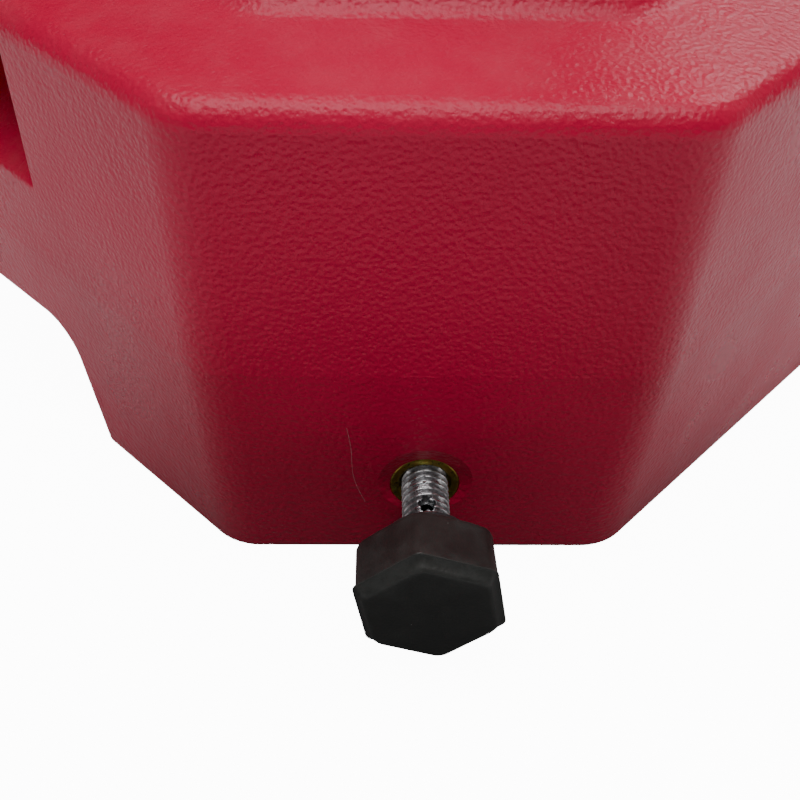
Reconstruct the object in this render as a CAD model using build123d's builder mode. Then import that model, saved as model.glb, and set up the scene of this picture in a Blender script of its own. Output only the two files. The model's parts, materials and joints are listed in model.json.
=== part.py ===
"""Water filled traffic barrier: a hollow moulded tank with its drain, filler and coupling hardware.

The frame: X runs along the barrier, Y across it, Z up, and the origin is on the ground at the centre.
All lengths are in millimetres.
"""

import os
from math import atan2, pi, sin, sqrt, tan

from build123d import *

# ---------------------------------------------------------------- driving dimensions

# Tank: a skirted base, a ledge all round it, a sloping shoulder, and a slender wall above.
BASE_LENGTH = 1200.0
BASE_WIDTH = 420.0
CORNER_CUT = 75.0  # leg of the 45 degree corner faces
CORNER_RADIUS = 16.0  # rounding of the upright edges
SKIN = 5.0  # moulded wall thickness
FOOT_INSET = 6.3  # how far the skirt tapers in from the mould seam to the ground
RIM_FLARE = 1.2  # how far the skirt leans out from the seam to the rim
SEAM_Z = 68.0
RIM_Z = 135.0
RIM_RADIUS = 6.0
LEDGE_DEPTH = 33.0
LEDGE_RISE = 4.0
LEDGE_RADIUS = 8.0
WAIST_Z = 236.0
WAIST_LENGTH = 1020.0
WAIST_WIDTH = 240.0
WAIST_CUT = 34.0
WAIST_RADIUS = 26.0
TOP_Z = 800.0
TOP_LENGTH = 996.0
TOP_WIDTH = 172.0
TOP_CUT = 28.0
TOP_RADIUS = 16.0
GROUND_RADIUS = 3.0

# Two channels run right under the base, and a hand grip sits above each end of each channel.
CHANNEL_X = 375.0
CHANNEL_WIDTH = 176.0
CHANNEL_DRAFT = 3.0
CHANNEL_HEIGHT = 43.0
CHANNEL_RADIUS = 10.0
CHANNEL_EDGE = 3.0
GRIP_X = 398.0
GRIP_WIDTH = 132.0
GRIP_BOTTOM_Z = 91.5
GRIP_TOP_Z = 127.0
GRIP_DEPTH = 24.0
GRIP_SLOPE = 12.0
GRIP_RADIUS = 8.0
GRIP_EDGE = 2.0

# Three windows go through the upper wall.
WINDOW_PITCH = 300.0
WINDOW_WIDTH = 120.0
WINDOW_HEIGHT = 280.0
WINDOW_Z = 470.0
WINDOW_RADIUS = 40.0
WINDOW_EDGE = 9.0

# Post sockets in the top, for the feet of a mesh fence panel.
SOCKET_X = 430.0
SOCKET_RADIUS = 21.5
SOCKET_DEPTH = 150.0
SOCKET_EDGE = 3.0

# Filler: a pan in the top with a threaded neck, a gasket and a screw cap.
PAN_LENGTH = 190.0
PAN_WIDTH = 124.0
PAN_DEPTH = 34.0
PAN_RADIUS = 24.0
PAN_EDGE = 5.0
NECK_BORE = 40.0
NECK_RADIUS = 44.5
NECK_FLANGE_RADIUS = 56.0
NECK_FLANGE = 4.0
NECK_HEIGHT = 19.0
NECK_TAIL = 12.0
NECK_WALL = 3.0
THREAD_GAP = 0.5
CAP_RADIUS = 52.0
CAP_GAP = 1.0  # between the cap's skirt and the neck's flange
CAP_TOP = 4.0
CAP_BAR_LENGTH = 84.0
CAP_BAR_WIDTH = 12.0
CAP_BAR_HEIGHT = 8.0
CAP_BAR_EDGE = 2.0
CAP_RIBS = 24
CAP_RIB_RADIUS = 2.0
GASKET_THICK = 2.5

# Drain: a threaded insert in a corner face, and a hollow bolt with a moulded hexagon head.
DRAIN_Z = 27.2
INSERT_RADIUS = 9.0
INSERT_LENGTH = 16.0
DISH_DEPTH = 1.3
DISH_RADIUS = 11.8
DISH_WIDE = 3.0  # how far the dish's cone is carried outside the face
BOSS_RADIUS = 15.5
BOSS_LENGTH = 22.0
BOSS_BORE = 7.5
BOLT_RADIUS = 6.0
BOLT_TIP = 1.0
BOLT_CLEARANCE = 0.08
BOLT_OUT = 20.3  # bolt showing between the corner face and the head
BOLT_IN = 17.0
BOLT_GRIPPED = 12.0  # bolt moulded into the head
CROSS_HOLE_RADIUS = 2.3
CROSS_HOLE_OUT = 10.2
BOLT_BORE_RADIUS = 2.5
HEAD_LENGTH = 20.0
HEAD_RADIUS = 18.6  # across the corners
HEAD_COLLAR = 2.5
HEAD_COLLAR_RADIUS = 14.2
HEAD_BACK_RADIUS = 13.0
HEAD_BEVEL = 3.0
HEAD_BEVEL_ANGLE = 32.0
HEAD_TURN = 40.5
SEAL_THICK = 2.6
SEAL_RADIUS = 11.0
SEAL_GAP = 0.3

# End couplings: lugs with sleeved bores that interleave with the next barrier's, and a drop pin.
PIN_X = 604.0
LUG_RADIUS = 40.0
LUG_THICK = 50.0
LUG_EDGE = 5.0
LUG_ROOT_X = 480.0
LUG_ROOT_WIDTH = 96.0
LUG_ROOT_GAP = 0.5
LUG_ROOM = 12.0  # kept round each lug where it is cut off the tank
RIGHT_LUG_Z = (355.0, 605.0)
LEFT_LUG_Z = (300.0, 550.0)
SLEEVE_RADIUS = 17.0
SLEEVE_BORE = 14.0
PIN_RADIUS = 13.0
PIN_FOOT_Z = 285.0
PIN_POINT = 5.0
COLLAR_RADIUS = 24.0
COLLAR_THICK = 6.0
HANDLE_ROD = 5.0
HANDLE_NECK = 16.0
HANDLE_REACH = 42.0
HANDLE_RISE = 66.0
HANDLE_SHANK = 10.0
HANDLE_BEND = 9.0

# Reflective sheeting on the long sides and a round reflector on each end.
STRIP_LENGTH = 880.0
STRIP_HEIGHT = 80.0
STRIP_THICK = 0.6
STRIP_SINK = 2.0
STRIP_RADIUS = 8.0
STRIP_GAP = 2.0
STRIP_Z = 695.0
REFLECTOR_RADIUS = 32.0
REFLECTOR_THICK = 6.0
REFLECTOR_Z = 720.0
REFLECTOR_SINK = 3.0
RIVET_RADIUS = 2.4
RIVET_HEAD_RADIUS = 6.0
RIVET_HEAD = 2.0
RIVET_LENGTH = 12.0
RIVET_HEAD_TAPER = 40.0

# The one-piece tank is stored in simpler blocks, cut at these places.
APRON_X = 300.0
CROWN_X = 94.0

# ---------------------------------------------------------------- sizes that follow from them

LEDGE_Z = RIM_Z + LEDGE_RISE
SIDE_LEAN = atan2((WAIST_WIDTH - TOP_WIDTH) / 2, TOP_Z - WAIST_Z)
END_LEAN = atan2((WAIST_LENGTH - TOP_LENGTH) / 2, TOP_Z - WAIST_Z)
SHOULDER_SLOPE = atan2(WAIST_Z - LEDGE_Z, (BASE_WIDTH - WAIST_WIDTH) / 2 - LEDGE_DEPTH)
PAN_Z = TOP_Z - PAN_DEPTH
NECK_TOP_Z = PAN_Z + NECK_HEIGHT
PIN_TOP_Z = RIGHT_LUG_Z[1] + LUG_THICK
COLLAR_TOP_Z = PIN_TOP_Z + COLLAR_THICK
SILL_Z = WINDOW_Z - WINDOW_HEIGHT / 2
LINTEL_Z = WINDOW_Z + WINDOW_HEIGHT / 2
LUG_PLACES = [(1, foot) for foot in RIGHT_LUG_Z] + [(-1, foot) for foot in LEFT_LUG_Z]
THROUGH = BASE_LENGTH  # long enough to cut right through the barrier in any direction


# ---------------------------------------------------------------- planes and selectors


def corner_plane(turn: float) -> Plane:
    """A drain's plane, turned about the barrier's middle: X to the right, Y up and Z out of the face."""
    inset = FOOT_INSET * (1 - DRAIN_Z / SEAM_Z)
    x = (BASE_LENGTH - CORNER_CUT - inset * sqrt(2)) / 2
    y = (BASE_WIDTH - CORNER_CUT - inset * sqrt(2)) / 2
    plane = Plane(origin=(x, -y, DRAIN_Z), x_dir=(1, 1, 0), z_dir=(1, -1, 0))
    return Plane(Rotation(0, 0, turn) * plane.location)


def side_plane(side: int, height: float) -> Plane:
    """A plane on the upper wall's long side: side -1 is the front, +1 the back."""
    y = WAIST_WIDTH / 2 - (height - WAIST_Z) * tan(SIDE_LEAN)
    return Plane(origin=(0, side * y, height), x_dir=(-side, 0, 0), z_dir=(0, side, tan(SIDE_LEAN)))


def end_plane(side: int, height: float) -> Plane:
    """A plane on the upper wall's end: side +1 is the right end, -1 the left."""
    x = WAIST_LENGTH / 2 - (height - WAIST_Z) * tan(END_LEAN)
    return Plane(origin=(side * x, 0, height), x_dir=(0, side, 0), z_dir=(side, 0, tan(END_LEAN)))


def level_edges(part: Part, height: float) -> ShapeList:
    """The edges of part that lie level at a height."""
    return part.edges().filter_by_position(Axis.Z, height - 0.01, height + 0.01)


def edges_between(part: Part, low: tuple, high: tuple) -> ShapeList:
    """The edges of part that lie wholly between two corners of a box."""
    return ShapeList(
        edge
        for edge in part.edges()
        if all(a <= b for a, b in zip(low, edge.bounding_box().min))
        and all(a >= b for a, b in zip(high, edge.bounding_box().max))
    )


# ---------------------------------------------------------------- the tank


def outline(height: float, length: float, width: float, cut: float, radius: float) -> Sketch:
    """A rectangle with 45 degree corners and rounded edges, level at a height."""
    x, y = length / 2, width / 2
    half = [(x, cut - y), (x, y - cut), (x - cut, y), (cut - x, y)]
    with BuildSketch(Plane.XY.offset(height)) as sketch:
        with BuildLine():
            Polyline(*half, *[(-px, -py) for px, py in half], close=True)
        make_face()
        fillet(sketch.vertices(), radius)
    return sketch.sketch


def base_outline(height: float, inset: float, radius: float) -> Sketch:
    """The base's outline at a height, moved in by inset on every side."""
    cut = CORNER_CUT - inset * (2 - sqrt(2))
    return outline(height, BASE_LENGTH - 2 * inset, BASE_WIDTH - 2 * inset, cut, radius)


def tank_form(skin: float) -> Part:
    """The tank's form, moved in by skin on every face: 0 is the outside, SKIN the water's side."""
    radius = CORNER_RADIUS - skin
    waist_z = WAIST_Z - skin * tan((pi / 2 - SIDE_LEAN - SHOULDER_SLOPE) / 2)
    top_z = TOP_Z - skin
    levels = [
        base_outline(skin, FOOT_INSET + skin, radius),
        base_outline(SEAM_Z, skin, radius),
        base_outline(RIM_Z - skin, skin - RIM_FLARE, radius),
        base_outline(LEDGE_Z - skin, LEDGE_DEPTH + skin * sin(SHOULDER_SLOPE), radius),
        outline(waist_z, WAIST_LENGTH - 2 * skin, WAIST_WIDTH - 2 * skin, WAIST_CUT, radius),
        outline(top_z, TOP_LENGTH - 2 * skin, TOP_WIDTH - 2 * skin, TOP_CUT, radius),
    ]
    with BuildPart() as form:
        loft(levels, ruled=True)
        fillet(level_edges(form.part, waist_z), WAIST_RADIUS + skin)
        fillet(level_edges(form.part, top_z), TOP_RADIUS - skin)
    return form.part


def windows(grow: float) -> Part:
    """The three windows' air, grown by grow on every side."""
    with BuildPart() as air:
        with BuildSketch(Plane.XZ):
            with Locations(*[(WINDOW_PITCH * i, WINDOW_Z) for i in (-1, 0, 1)]):
                size = (WINDOW_WIDTH + 2 * grow, WINDOW_HEIGHT + 2 * grow)
                RectangleRounded(*size, WINDOW_RADIUS + grow)
        extrude(amount=THROUGH, both=True)
    return air.part


def channels(grow: float) -> Part:
    """The two channels' air, grown by grow on every side."""
    foot, roof = CHANNEL_WIDTH / 2 + grow, CHANNEL_WIDTH / 2 - CHANNEL_DRAFT + grow
    top = CHANNEL_HEIGHT + grow
    with BuildPart() as air:
        for x in (-CHANNEL_X, CHANNEL_X):
            with BuildSketch(Plane.XZ) as section:
                with BuildLine():
                    Polyline((x - foot, -1), (x - roof, top), (x + roof, top), (x + foot, -1), close=True)
                make_face()
                fillet(section.vertices().group_by(Axis.Y)[-1], CHANNEL_RADIUS + grow)
            extrude(amount=THROUGH, both=True)
    return air.part


def grips(grow: float) -> Part:
    """The four hand grips' air, grown by grow on every side."""
    mouth = BASE_WIDTH / 2 + GRIP_DEPTH
    floor = BASE_WIDTH / 2 - GRIP_DEPTH - grow
    bottom, top = GRIP_BOTTOM_Z - grow, GRIP_TOP_Z + grow
    with BuildPart() as air:
        for side in (-1, 1):
            lip, heel = (side * mouth, bottom - GRIP_SLOPE), (side * floor, bottom + GRIP_SLOPE)
            for x in (-GRIP_X, GRIP_X):
                with BuildSketch(Plane.YZ.offset(x)):
                    with BuildLine():
                        Polyline(lip, heel, (side * floor, top), (side * mouth, top), close=True)
                    make_face()
                extrude(amount=GRIP_WIDTH / 2 + grow, both=True)
        upright = air.edges().filter_by(Axis.Z).filter_by_position(Axis.Y, -floor - 1, floor + 1)
        fillet(upright, GRIP_RADIUS + grow)
    return air.part


def pan(grow: float) -> Part:
    """The air of the filler's pan, grown by grow on every side."""
    with BuildPart() as air:
        with BuildSketch(Plane.XY.offset(PAN_Z - grow)):
            RectangleRounded(PAN_LENGTH + 2 * grow, PAN_WIDTH + 2 * grow, PAN_RADIUS + grow)
        extrude(amount=PAN_DEPTH + 2 * grow + 1)
    return air.part


def sockets(grow: float) -> Part:
    """The air of the two post sockets, grown by grow on every side."""
    with BuildPart() as air:
        with BuildSketch(Plane.XY.offset(TOP_Z - SOCKET_DEPTH - grow)):
            with Locations((-SOCKET_X, 0), (SOCKET_X, 0)):
                Circle(SOCKET_RADIUS + grow)
        extrude(amount=SOCKET_DEPTH + 2 * grow + 1)
    return air.part


def lugs(skin: float) -> Part:
    """The four coupling lugs, moved in by skin on every face."""
    with BuildPart() as arms:
        for side, levels in ((1, RIGHT_LUG_Z), (-1, LEFT_LUG_Z)):
            for foot in levels:
                with BuildSketch(Plane.XY.offset(foot + skin)):
                    with Locations((side * PIN_X, 0)):
                        Circle(LUG_RADIUS - skin)
                    with Locations((side * LUG_ROOT_X, 0)):
                        Rectangle(1, LUG_ROOT_WIDTH - 2 * skin)
                    make_hull()
                extrude(amount=LUG_THICK - 2 * skin)
    return arms.part


def lug_rims(tank: Part) -> ShapeList:
    """The level edges round the top and bottom of every lug, outside the end walls."""
    reach = (WAIST_LENGTH + LUG_ROOT_GAP) / 2
    return ShapeList(
        edge
        for foot in (*RIGHT_LUG_Z, *LEFT_LUG_Z)
        for height in (foot, foot + LUG_THICK)
        for edge in level_edges(tank, height)
        if abs(edge.center().X) > reach
    )


def lug_bores(radius: float) -> Part:
    """Upright rods of one radius on both coupling axes, as long as the lugs are spread."""
    with BuildPart() as rods:
        for side, levels in ((1, RIGHT_LUG_Z), (-1, LEFT_LUG_Z)):
            with BuildSketch(Plane.XY.offset(levels[0])):
                with Locations((side * PIN_X, 0)):
                    Circle(radius)
            extrude(amount=levels[1] - levels[0] + LUG_THICK)
    return rods.part


def drain_rods(radius: float, start: float, stop: float) -> Part:
    """A round rod on each drain's axis, from start to stop as measured out of the corner face."""
    with BuildPart() as rods:
        for turn in (0, 180):
            with BuildSketch(corner_plane(turn).offset(start)):
                Circle(radius)
            extrude(amount=stop - start)
    return rods.part


def dishes() -> Part:
    """The conical dish round each drain's insert."""
    grow = (DISH_RADIUS - INSERT_RADIUS) / DISH_DEPTH
    with BuildPart() as cones:
        for turn in (0, 180):
            face = corner_plane(turn)
            with BuildSketch(face.offset(-DISH_DEPTH)):
                Circle(INSERT_RADIUS)
            with BuildSketch(face.offset(DISH_WIDE)):
                Circle(DISH_RADIUS + grow * DISH_WIDE)
            loft()
    return cones.part


def trim_recesses() -> Part:
    """Shallow seats for the reflective strips and the end reflectors, and the rivets' holes."""
    with BuildPart() as seats:
        for side in (-1, 1):
            with BuildSketch(side_plane(side, STRIP_Z).offset(-STRIP_SINK)):
                RectangleRounded(STRIP_LENGTH + 2 * STRIP_GAP, STRIP_HEIGHT + 2 * STRIP_GAP, STRIP_RADIUS)
            extrude(amount=2 * STRIP_SINK)
            with BuildSketch(end_plane(side, REFLECTOR_Z).offset(-REFLECTOR_SINK)):
                Circle(REFLECTOR_RADIUS + STRIP_GAP)
            extrude(amount=2 * REFLECTOR_SINK)
            with BuildSketch(end_plane(side, REFLECTOR_Z).offset(-RIVET_LENGTH)):
                Circle(RIVET_RADIUS)
            extrude(amount=RIVET_LENGTH)
    return seats.part


def water_space() -> Part:
    """The space inside the tank, clear of the walls round everything that is let into it."""
    with BuildPart() as space:
        add(tank_form(SKIN))
        add(lugs(SKIN))
        for walled in (windows(SKIN), channels(SKIN), grips(SKIN), pan(SKIN), sockets(SKIN)):
            add(walled, mode=Mode.SUBTRACT)
        add(lug_bores(SLEEVE_RADIUS + SKIN), mode=Mode.SUBTRACT)
        add(drain_rods(BOSS_RADIUS, -BOSS_LENGTH, 0), mode=Mode.SUBTRACT)
    return space.part


def neck_hole() -> Part:
    """The air of the hole in the pan's floor that takes the neck's tail."""
    with BuildPart() as air:
        with BuildSketch(Plane.XY.offset(PAN_Z - SKIN - 1)):
            Circle(NECK_BORE + NECK_WALL)
        extrude(amount=SKIN + 2)
    return air.part


def hollows() -> list[Part]:
    """Everything that is taken out of the tank's outer form to make it hollow and to seat its fittings."""
    return [
        water_space(),
        trim_recesses(),
        lug_bores(SLEEVE_RADIUS),
        dishes(),
        drain_rods(INSERT_RADIUS, -DISH_DEPTH - INSERT_LENGTH, 0),
        drain_rods(BOSS_BORE, -BOSS_LENGTH - 1, -INSERT_LENGTH),
        neck_hole(),
    ]


def outer_tank() -> Part:
    """The one-piece moulded tank as it looks from outside, still solid."""
    with BuildPart() as tank:
        add(tank_form(0))
        fillet(level_edges(tank.part, RIM_Z), RIM_RADIUS)
        fillet(level_edges(tank.part, LEDGE_Z), LEDGE_RADIUS)
        fillet(level_edges(tank.part, 0), GROUND_RADIUS)
        add(lugs(0))
        fillet(lug_rims(tank.part), LUG_EDGE)
        for let_in in (windows(0), channels(0), grips(0), pan(0), sockets(0)):
            add(let_in, mode=Mode.SUBTRACT)
        soften_mouths(tank)
    return tank.part


def soften_mouths(tank: BuildPart) -> None:
    """Round the edges where windows, grips, channels, sockets and the pan open in the walls."""
    half, low, high = WINDOW_WIDTH / 2 + 1, WINDOW_Z - WINDOW_HEIGHT / 2 - 1, WINDOW_Z + WINDOW_HEIGHT / 2 + 1
    for x in (-WINDOW_PITCH, 0, WINDOW_PITCH):
        for near, far in ((-WAIST_WIDTH, -1), (1, WAIST_WIDTH)):
            fillet(edges_between(tank.part, (x - half, near, low), (x + half, far, high)), WINDOW_EDGE)
    for x in (-CHANNEL_X, CHANNEL_X):
        half, reach, high = CHANNEL_WIDTH / 2 + 1, BASE_WIDTH / 2, CHANNEL_HEIGHT + 1
        around = edges_between(tank.part, (x - half, -reach, -1), (x + half, reach, high))
        fillet(around.filter_by(Axis.Y, reverse=True), CHANNEL_EDGE)
    for x in (-GRIP_X, GRIP_X):
        half, low, high = GRIP_WIDTH / 2 + 1, GRIP_BOTTOM_Z - 1, GRIP_TOP_Z + 1
        for near, far in ((-BASE_WIDTH, 1 - BASE_WIDTH / 2), (BASE_WIDTH / 2 - 1, BASE_WIDTH)):
            fillet(edges_between(tank.part, (x - half, near, low), (x + half, far, high)), GRIP_EDGE)
    reach = PAN_LENGTH / 2 + 1
    low, high = (-reach, -reach, TOP_Z - 1), (reach, reach, TOP_Z + 1)
    fillet(edges_between(tank.part, low, high), PAN_EDGE)
    for x in (-SOCKET_X, SOCKET_X):
        low, high = (x - reach / 2, -reach / 2, TOP_Z - 1), (x + reach / 2, reach / 2, TOP_Z + 1)
        fillet(edges_between(tank.part, low, high), SOCKET_EDGE)


# ---------------------------------------------------------------- the blocks it is stored in


def blocks() -> dict[str, tuple]:
    """The low and high corner of the box that each block of the tank fills, by name."""
    far = THROUGH
    under = PAN_Z - SKIN
    rows = [
        (0, CHANNEL_HEIGHT, (-far, -CHANNEL_X, CHANNEL_X, far), ("left_foot", "middle_foot", "right_foot")),
        (CHANNEL_HEIGHT, LEDGE_Z, (-far, -APRON_X, APRON_X, far), ("left_apron", "middle_apron", "right_apron")),
        (LEDGE_Z, WAIST_Z, (-far, far), ("shoulder",)),
        (WAIST_Z, SILL_Z, (-far, far), ("sill",)),
        (SILL_Z, LINTEL_Z, (-far, -WINDOW_PITCH, 0), ("left_end_post", "left_post")),
        (SILL_Z, LINTEL_Z, (0, WINDOW_PITCH, far), ("right_post", "right_end_post")),
        (LINTEL_Z, TOP_Z, (-far, -CROWN_X), ("left_crown",)),
        (LINTEL_Z, TOP_Z, (CROWN_X, far), ("right_crown",)),
        (under, PAN_Z, (-CROWN_X, CROWN_X), ("pan_floor",)),
    ]
    found = {
        name: ((start, -far, bottom), (stop, far, top))
        for bottom, top, edges, names in rows
        for start, stop, name in zip(edges, edges[1:], names)
    }
    for name, near, stop in (("front", -far, 0), ("rear", 0, far)):
        found[f"{name}_lintel"] = ((-CROWN_X, near, LINTEL_Z), (CROWN_X, stop, under))
        found[f"{name}_pan_wall"] = ((-CROWN_X, near, PAN_Z), (CROWN_X, stop, TOP_Z))
    return found


def block_box(low: tuple, high: tuple) -> Part:
    """The box between two corners, clear of the space just outside the end walls round the lugs."""
    length, width, height = (b - a for a, b in zip(low, high))
    with BuildPart() as box:
        with Locations(low):
            Box(length, width, height, align=Align.MIN)
        for side, foot in LUG_PLACES:
            add(beyond_end(side, foot), mode=Mode.SUBTRACT)
    return box.part


def beyond_end(side: int, foot: float) -> Part:
    """The space just outside an end wall round one lug."""
    with BuildPart() as space:
        with BuildSketch(end_plane(side, foot + LUG_THICK / 2).offset(LUG_ROOT_GAP)):
            Rectangle(2 * LUG_ROOT_WIDTH, LUG_THICK + LUG_ROOM)
        extrude(amount=4 * LUG_RADIUS)
    return space.part


def make_block(outer: Part, within: Part, taken: list[Part]) -> Part:
    """What one space holds of the tank."""
    with BuildPart() as block:
        add(outer)
        add(within, mode=Mode.INTERSECT)
        for hollow in taken:
            add(hollow, mode=Mode.SUBTRACT)
    return block.part


# ---------------------------------------------------------------- the drains


def make_insert(turn: float) -> Part:
    """The threaded metal insert moulded into a corner face."""
    face = corner_plane(turn)
    with BuildPart() as insert:
        with BuildSketch(face.offset(-DISH_DEPTH - INSERT_LENGTH)):
            Circle(INSERT_RADIUS)
            Circle(BOLT_RADIUS + BOLT_CLEARANCE, mode=Mode.SUBTRACT)
        extrude(amount=INSERT_LENGTH)
    return insert.part


def make_bolt(turn: float) -> Part:
    """The hollow drain bolt, plain at its thread's crests: a hole through one wall drains it."""
    face = corner_plane(turn)
    with BuildPart() as bolt:
        with BuildSketch(face.offset(-BOLT_IN)):
            Circle(BOLT_RADIUS)
        extrude(amount=BOLT_IN + BOLT_OUT + BOLT_GRIPPED)
        with BuildSketch(face.offset(-BOLT_IN)):
            Circle(BOLT_BORE_RADIUS)
        extrude(amount=BOLT_IN + CROSS_HOLE_OUT, mode=Mode.SUBTRACT)
        across = Plane(face.offset(CROSS_HOLE_OUT).origin, x_dir=face.x_dir, z_dir=(0, 0, 1))
        with BuildSketch(across):
            Circle(CROSS_HOLE_RADIUS)
        extrude(amount=BOLT_RADIUS + 1, mode=Mode.SUBTRACT)
        tip = bolt.part.edges().filter_by(GeomType.CIRCLE).sort_by_distance(face.offset(-BOLT_IN).origin)
        chamfer(tip.group_by(SortBy.RADIUS)[-1].sort_by_distance(face.offset(-BOLT_IN).origin)[0], BOLT_TIP)
    return bolt.part


def make_knob(turn: float) -> Part:
    """The moulded hexagon head: a round collar, a hexagon body and a bevelled front."""
    face = corner_plane(turn)
    body = HEAD_LENGTH - HEAD_COLLAR - HEAD_BEVEL
    with BuildPart() as knob:
        with BuildSketch(face.offset(BOLT_OUT)):
            Circle(HEAD_BACK_RADIUS)
        with BuildSketch(face.offset(BOLT_OUT + HEAD_COLLAR)):
            Circle(HEAD_COLLAR_RADIUS)
        loft()
        with BuildSketch(face.offset(BOLT_OUT + HEAD_COLLAR)):
            RegularPolygon(HEAD_RADIUS, 6, rotation=HEAD_TURN)
        extrude(amount=body)
        with BuildSketch(face.offset(BOLT_OUT + HEAD_COLLAR + body)):
            RegularPolygon(HEAD_RADIUS, 6, rotation=HEAD_TURN)
        extrude(amount=HEAD_BEVEL, taper=HEAD_BEVEL_ANGLE)
        with BuildSketch(face.offset(BOLT_OUT)):
            Circle(BOLT_RADIUS)
        extrude(amount=BOLT_GRIPPED, mode=Mode.SUBTRACT)
    return knob.part


def make_seal(turn: float) -> Part:
    """The flat rubber washer behind a drain bolt's head."""
    face = corner_plane(turn)
    with BuildPart() as seal:
        with BuildSketch(face.offset(BOLT_OUT - SEAL_THICK)):
            Circle(SEAL_RADIUS)
            Circle(BOLT_RADIUS + SEAL_GAP, mode=Mode.SUBTRACT)
        extrude(amount=SEAL_THICK)
    return seal.part


# ---------------------------------------------------------------- the filler


def make_neck() -> Part:
    """The filler's neck: a flange on the pan's floor, a tail through it and a collar for the cap."""
    with BuildPart() as neck:
        with BuildSketch(Plane.XY.offset(PAN_Z)):
            Circle(NECK_FLANGE_RADIUS)
        extrude(amount=NECK_FLANGE)
        with BuildSketch(Plane.XY.offset(PAN_Z)):
            Circle(NECK_RADIUS)
        extrude(amount=NECK_HEIGHT)
        with BuildSketch(Plane.XY.offset(PAN_Z)):
            Circle(NECK_BORE + NECK_WALL)
        extrude(amount=-NECK_TAIL)
        with BuildSketch(Plane.XY.offset(PAN_Z - NECK_TAIL)):
            Circle(NECK_BORE)
        extrude(amount=NECK_TAIL + NECK_HEIGHT, mode=Mode.SUBTRACT)
        fillet(level_edges(neck.part, PAN_Z + NECK_FLANGE).sort_by(SortBy.RADIUS)[-1], 1)
    return neck.part


def make_gasket() -> Part:
    """The flat rubber ring between the neck and the cap."""
    with BuildPart() as gasket:
        with BuildSketch(Plane.XY.offset(NECK_TOP_Z)):
            Circle(NECK_RADIUS - THREAD_GAP)
            Circle(NECK_BORE, mode=Mode.SUBTRACT)
        extrude(amount=GASKET_THICK)
    return gasket.part


def make_cap() -> Part:
    """The filler's screw cap: a ribbed skirt, a flat top and a bar across it to turn it by."""
    foot = PAN_Z + NECK_FLANGE + CAP_GAP
    roof = NECK_TOP_Z + GASKET_THICK
    with BuildPart() as cap:
        with BuildSketch(Plane.XY.offset(foot)):
            Circle(CAP_RADIUS)
            with PolarLocations(CAP_RADIUS, CAP_RIBS):
                Circle(CAP_RIB_RADIUS)
        extrude(amount=roof + CAP_TOP - foot)
        with BuildSketch(Plane.XY.offset(foot)):
            Circle(NECK_RADIUS + THREAD_GAP)
        extrude(amount=roof - foot, mode=Mode.SUBTRACT)
        with BuildSketch(Plane.XY.offset(roof + CAP_TOP)):
            SlotOverall(CAP_BAR_LENGTH, CAP_BAR_WIDTH)
        extrude(amount=CAP_BAR_HEIGHT)
        fillet(level_edges(cap.part, roof + CAP_TOP + CAP_BAR_HEIGHT), CAP_BAR_EDGE)
    return cap.part


# ---------------------------------------------------------------- the couplings


def make_sleeve(side: int, foot: float) -> Part:
    """The steel sleeve in one lug's bore."""
    with BuildPart() as sleeve:
        with BuildSketch(Plane.XY.offset(foot)):
            with Locations((side * PIN_X, 0)):
                Circle(SLEEVE_RADIUS)
                Circle(SLEEVE_BORE, mode=Mode.SUBTRACT)
        extrude(amount=LUG_THICK)
    return sleeve.part


def make_pin_rod() -> Part:
    """The coupling pin's rod, with a pointed foot."""
    with BuildPart() as rod:
        with BuildSketch(Plane.XY.offset(PIN_FOOT_Z)):
            with Locations((PIN_X, 0)):
                Circle(PIN_RADIUS)
        extrude(amount=COLLAR_TOP_Z - PIN_FOOT_Z)
        chamfer(level_edges(rod.part, PIN_FOOT_Z), PIN_POINT)
    return rod.part


def make_pin_collar() -> Part:
    """The collar that the coupling pin rests on."""
    with BuildPart() as collar:
        with BuildSketch(Plane.XY.offset(PIN_TOP_Z)):
            with Locations((PIN_X, 0)):
                Circle(COLLAR_RADIUS)
                Circle(PIN_RADIUS, mode=Mode.SUBTRACT)
        extrude(amount=COLLAR_THICK)
    return collar.part


def make_pin_handle() -> Part:
    """The bent rod that the coupling pin is lifted by."""
    foot = COLLAR_TOP_Z
    side = [
        (HANDLE_NECK, foot),
        (HANDLE_NECK, foot + HANDLE_SHANK),
        (HANDLE_REACH, foot + HANDLE_SHANK + HANDLE_REACH - HANDLE_NECK),
        (HANDLE_REACH, foot + HANDLE_RISE - HANDLE_ROD),
    ]
    with BuildPart() as handle:
        with BuildLine(Plane.YZ.offset(PIN_X)):
            FilletPolyline(*[(-y, z) for y, z in side], *reversed(side), radius=HANDLE_BEND)
        with BuildSketch(Plane.XY.offset(foot)):
            with Locations((PIN_X, -HANDLE_NECK)):
                Circle(HANDLE_ROD)
        sweep()
    return handle.part


# ---------------------------------------------------------------- reflectors


def make_strip(side: int) -> Part:
    """A reflective strip on a long side."""
    with BuildPart() as strip:
        with BuildSketch(side_plane(side, STRIP_Z).offset(-STRIP_SINK)):
            RectangleRounded(STRIP_LENGTH, STRIP_HEIGHT, STRIP_RADIUS)
        extrude(amount=STRIP_THICK)
    return strip.part


def make_reflector(side: int) -> Part:
    """A round reflector on an end."""
    face = end_plane(side, REFLECTOR_Z).offset(-REFLECTOR_SINK)
    with BuildPart() as reflector:
        with BuildSketch(face):
            Circle(REFLECTOR_RADIUS)
            Circle(RIVET_RADIUS, mode=Mode.SUBTRACT)
        extrude(amount=REFLECTOR_THICK)
    return reflector.part


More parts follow.
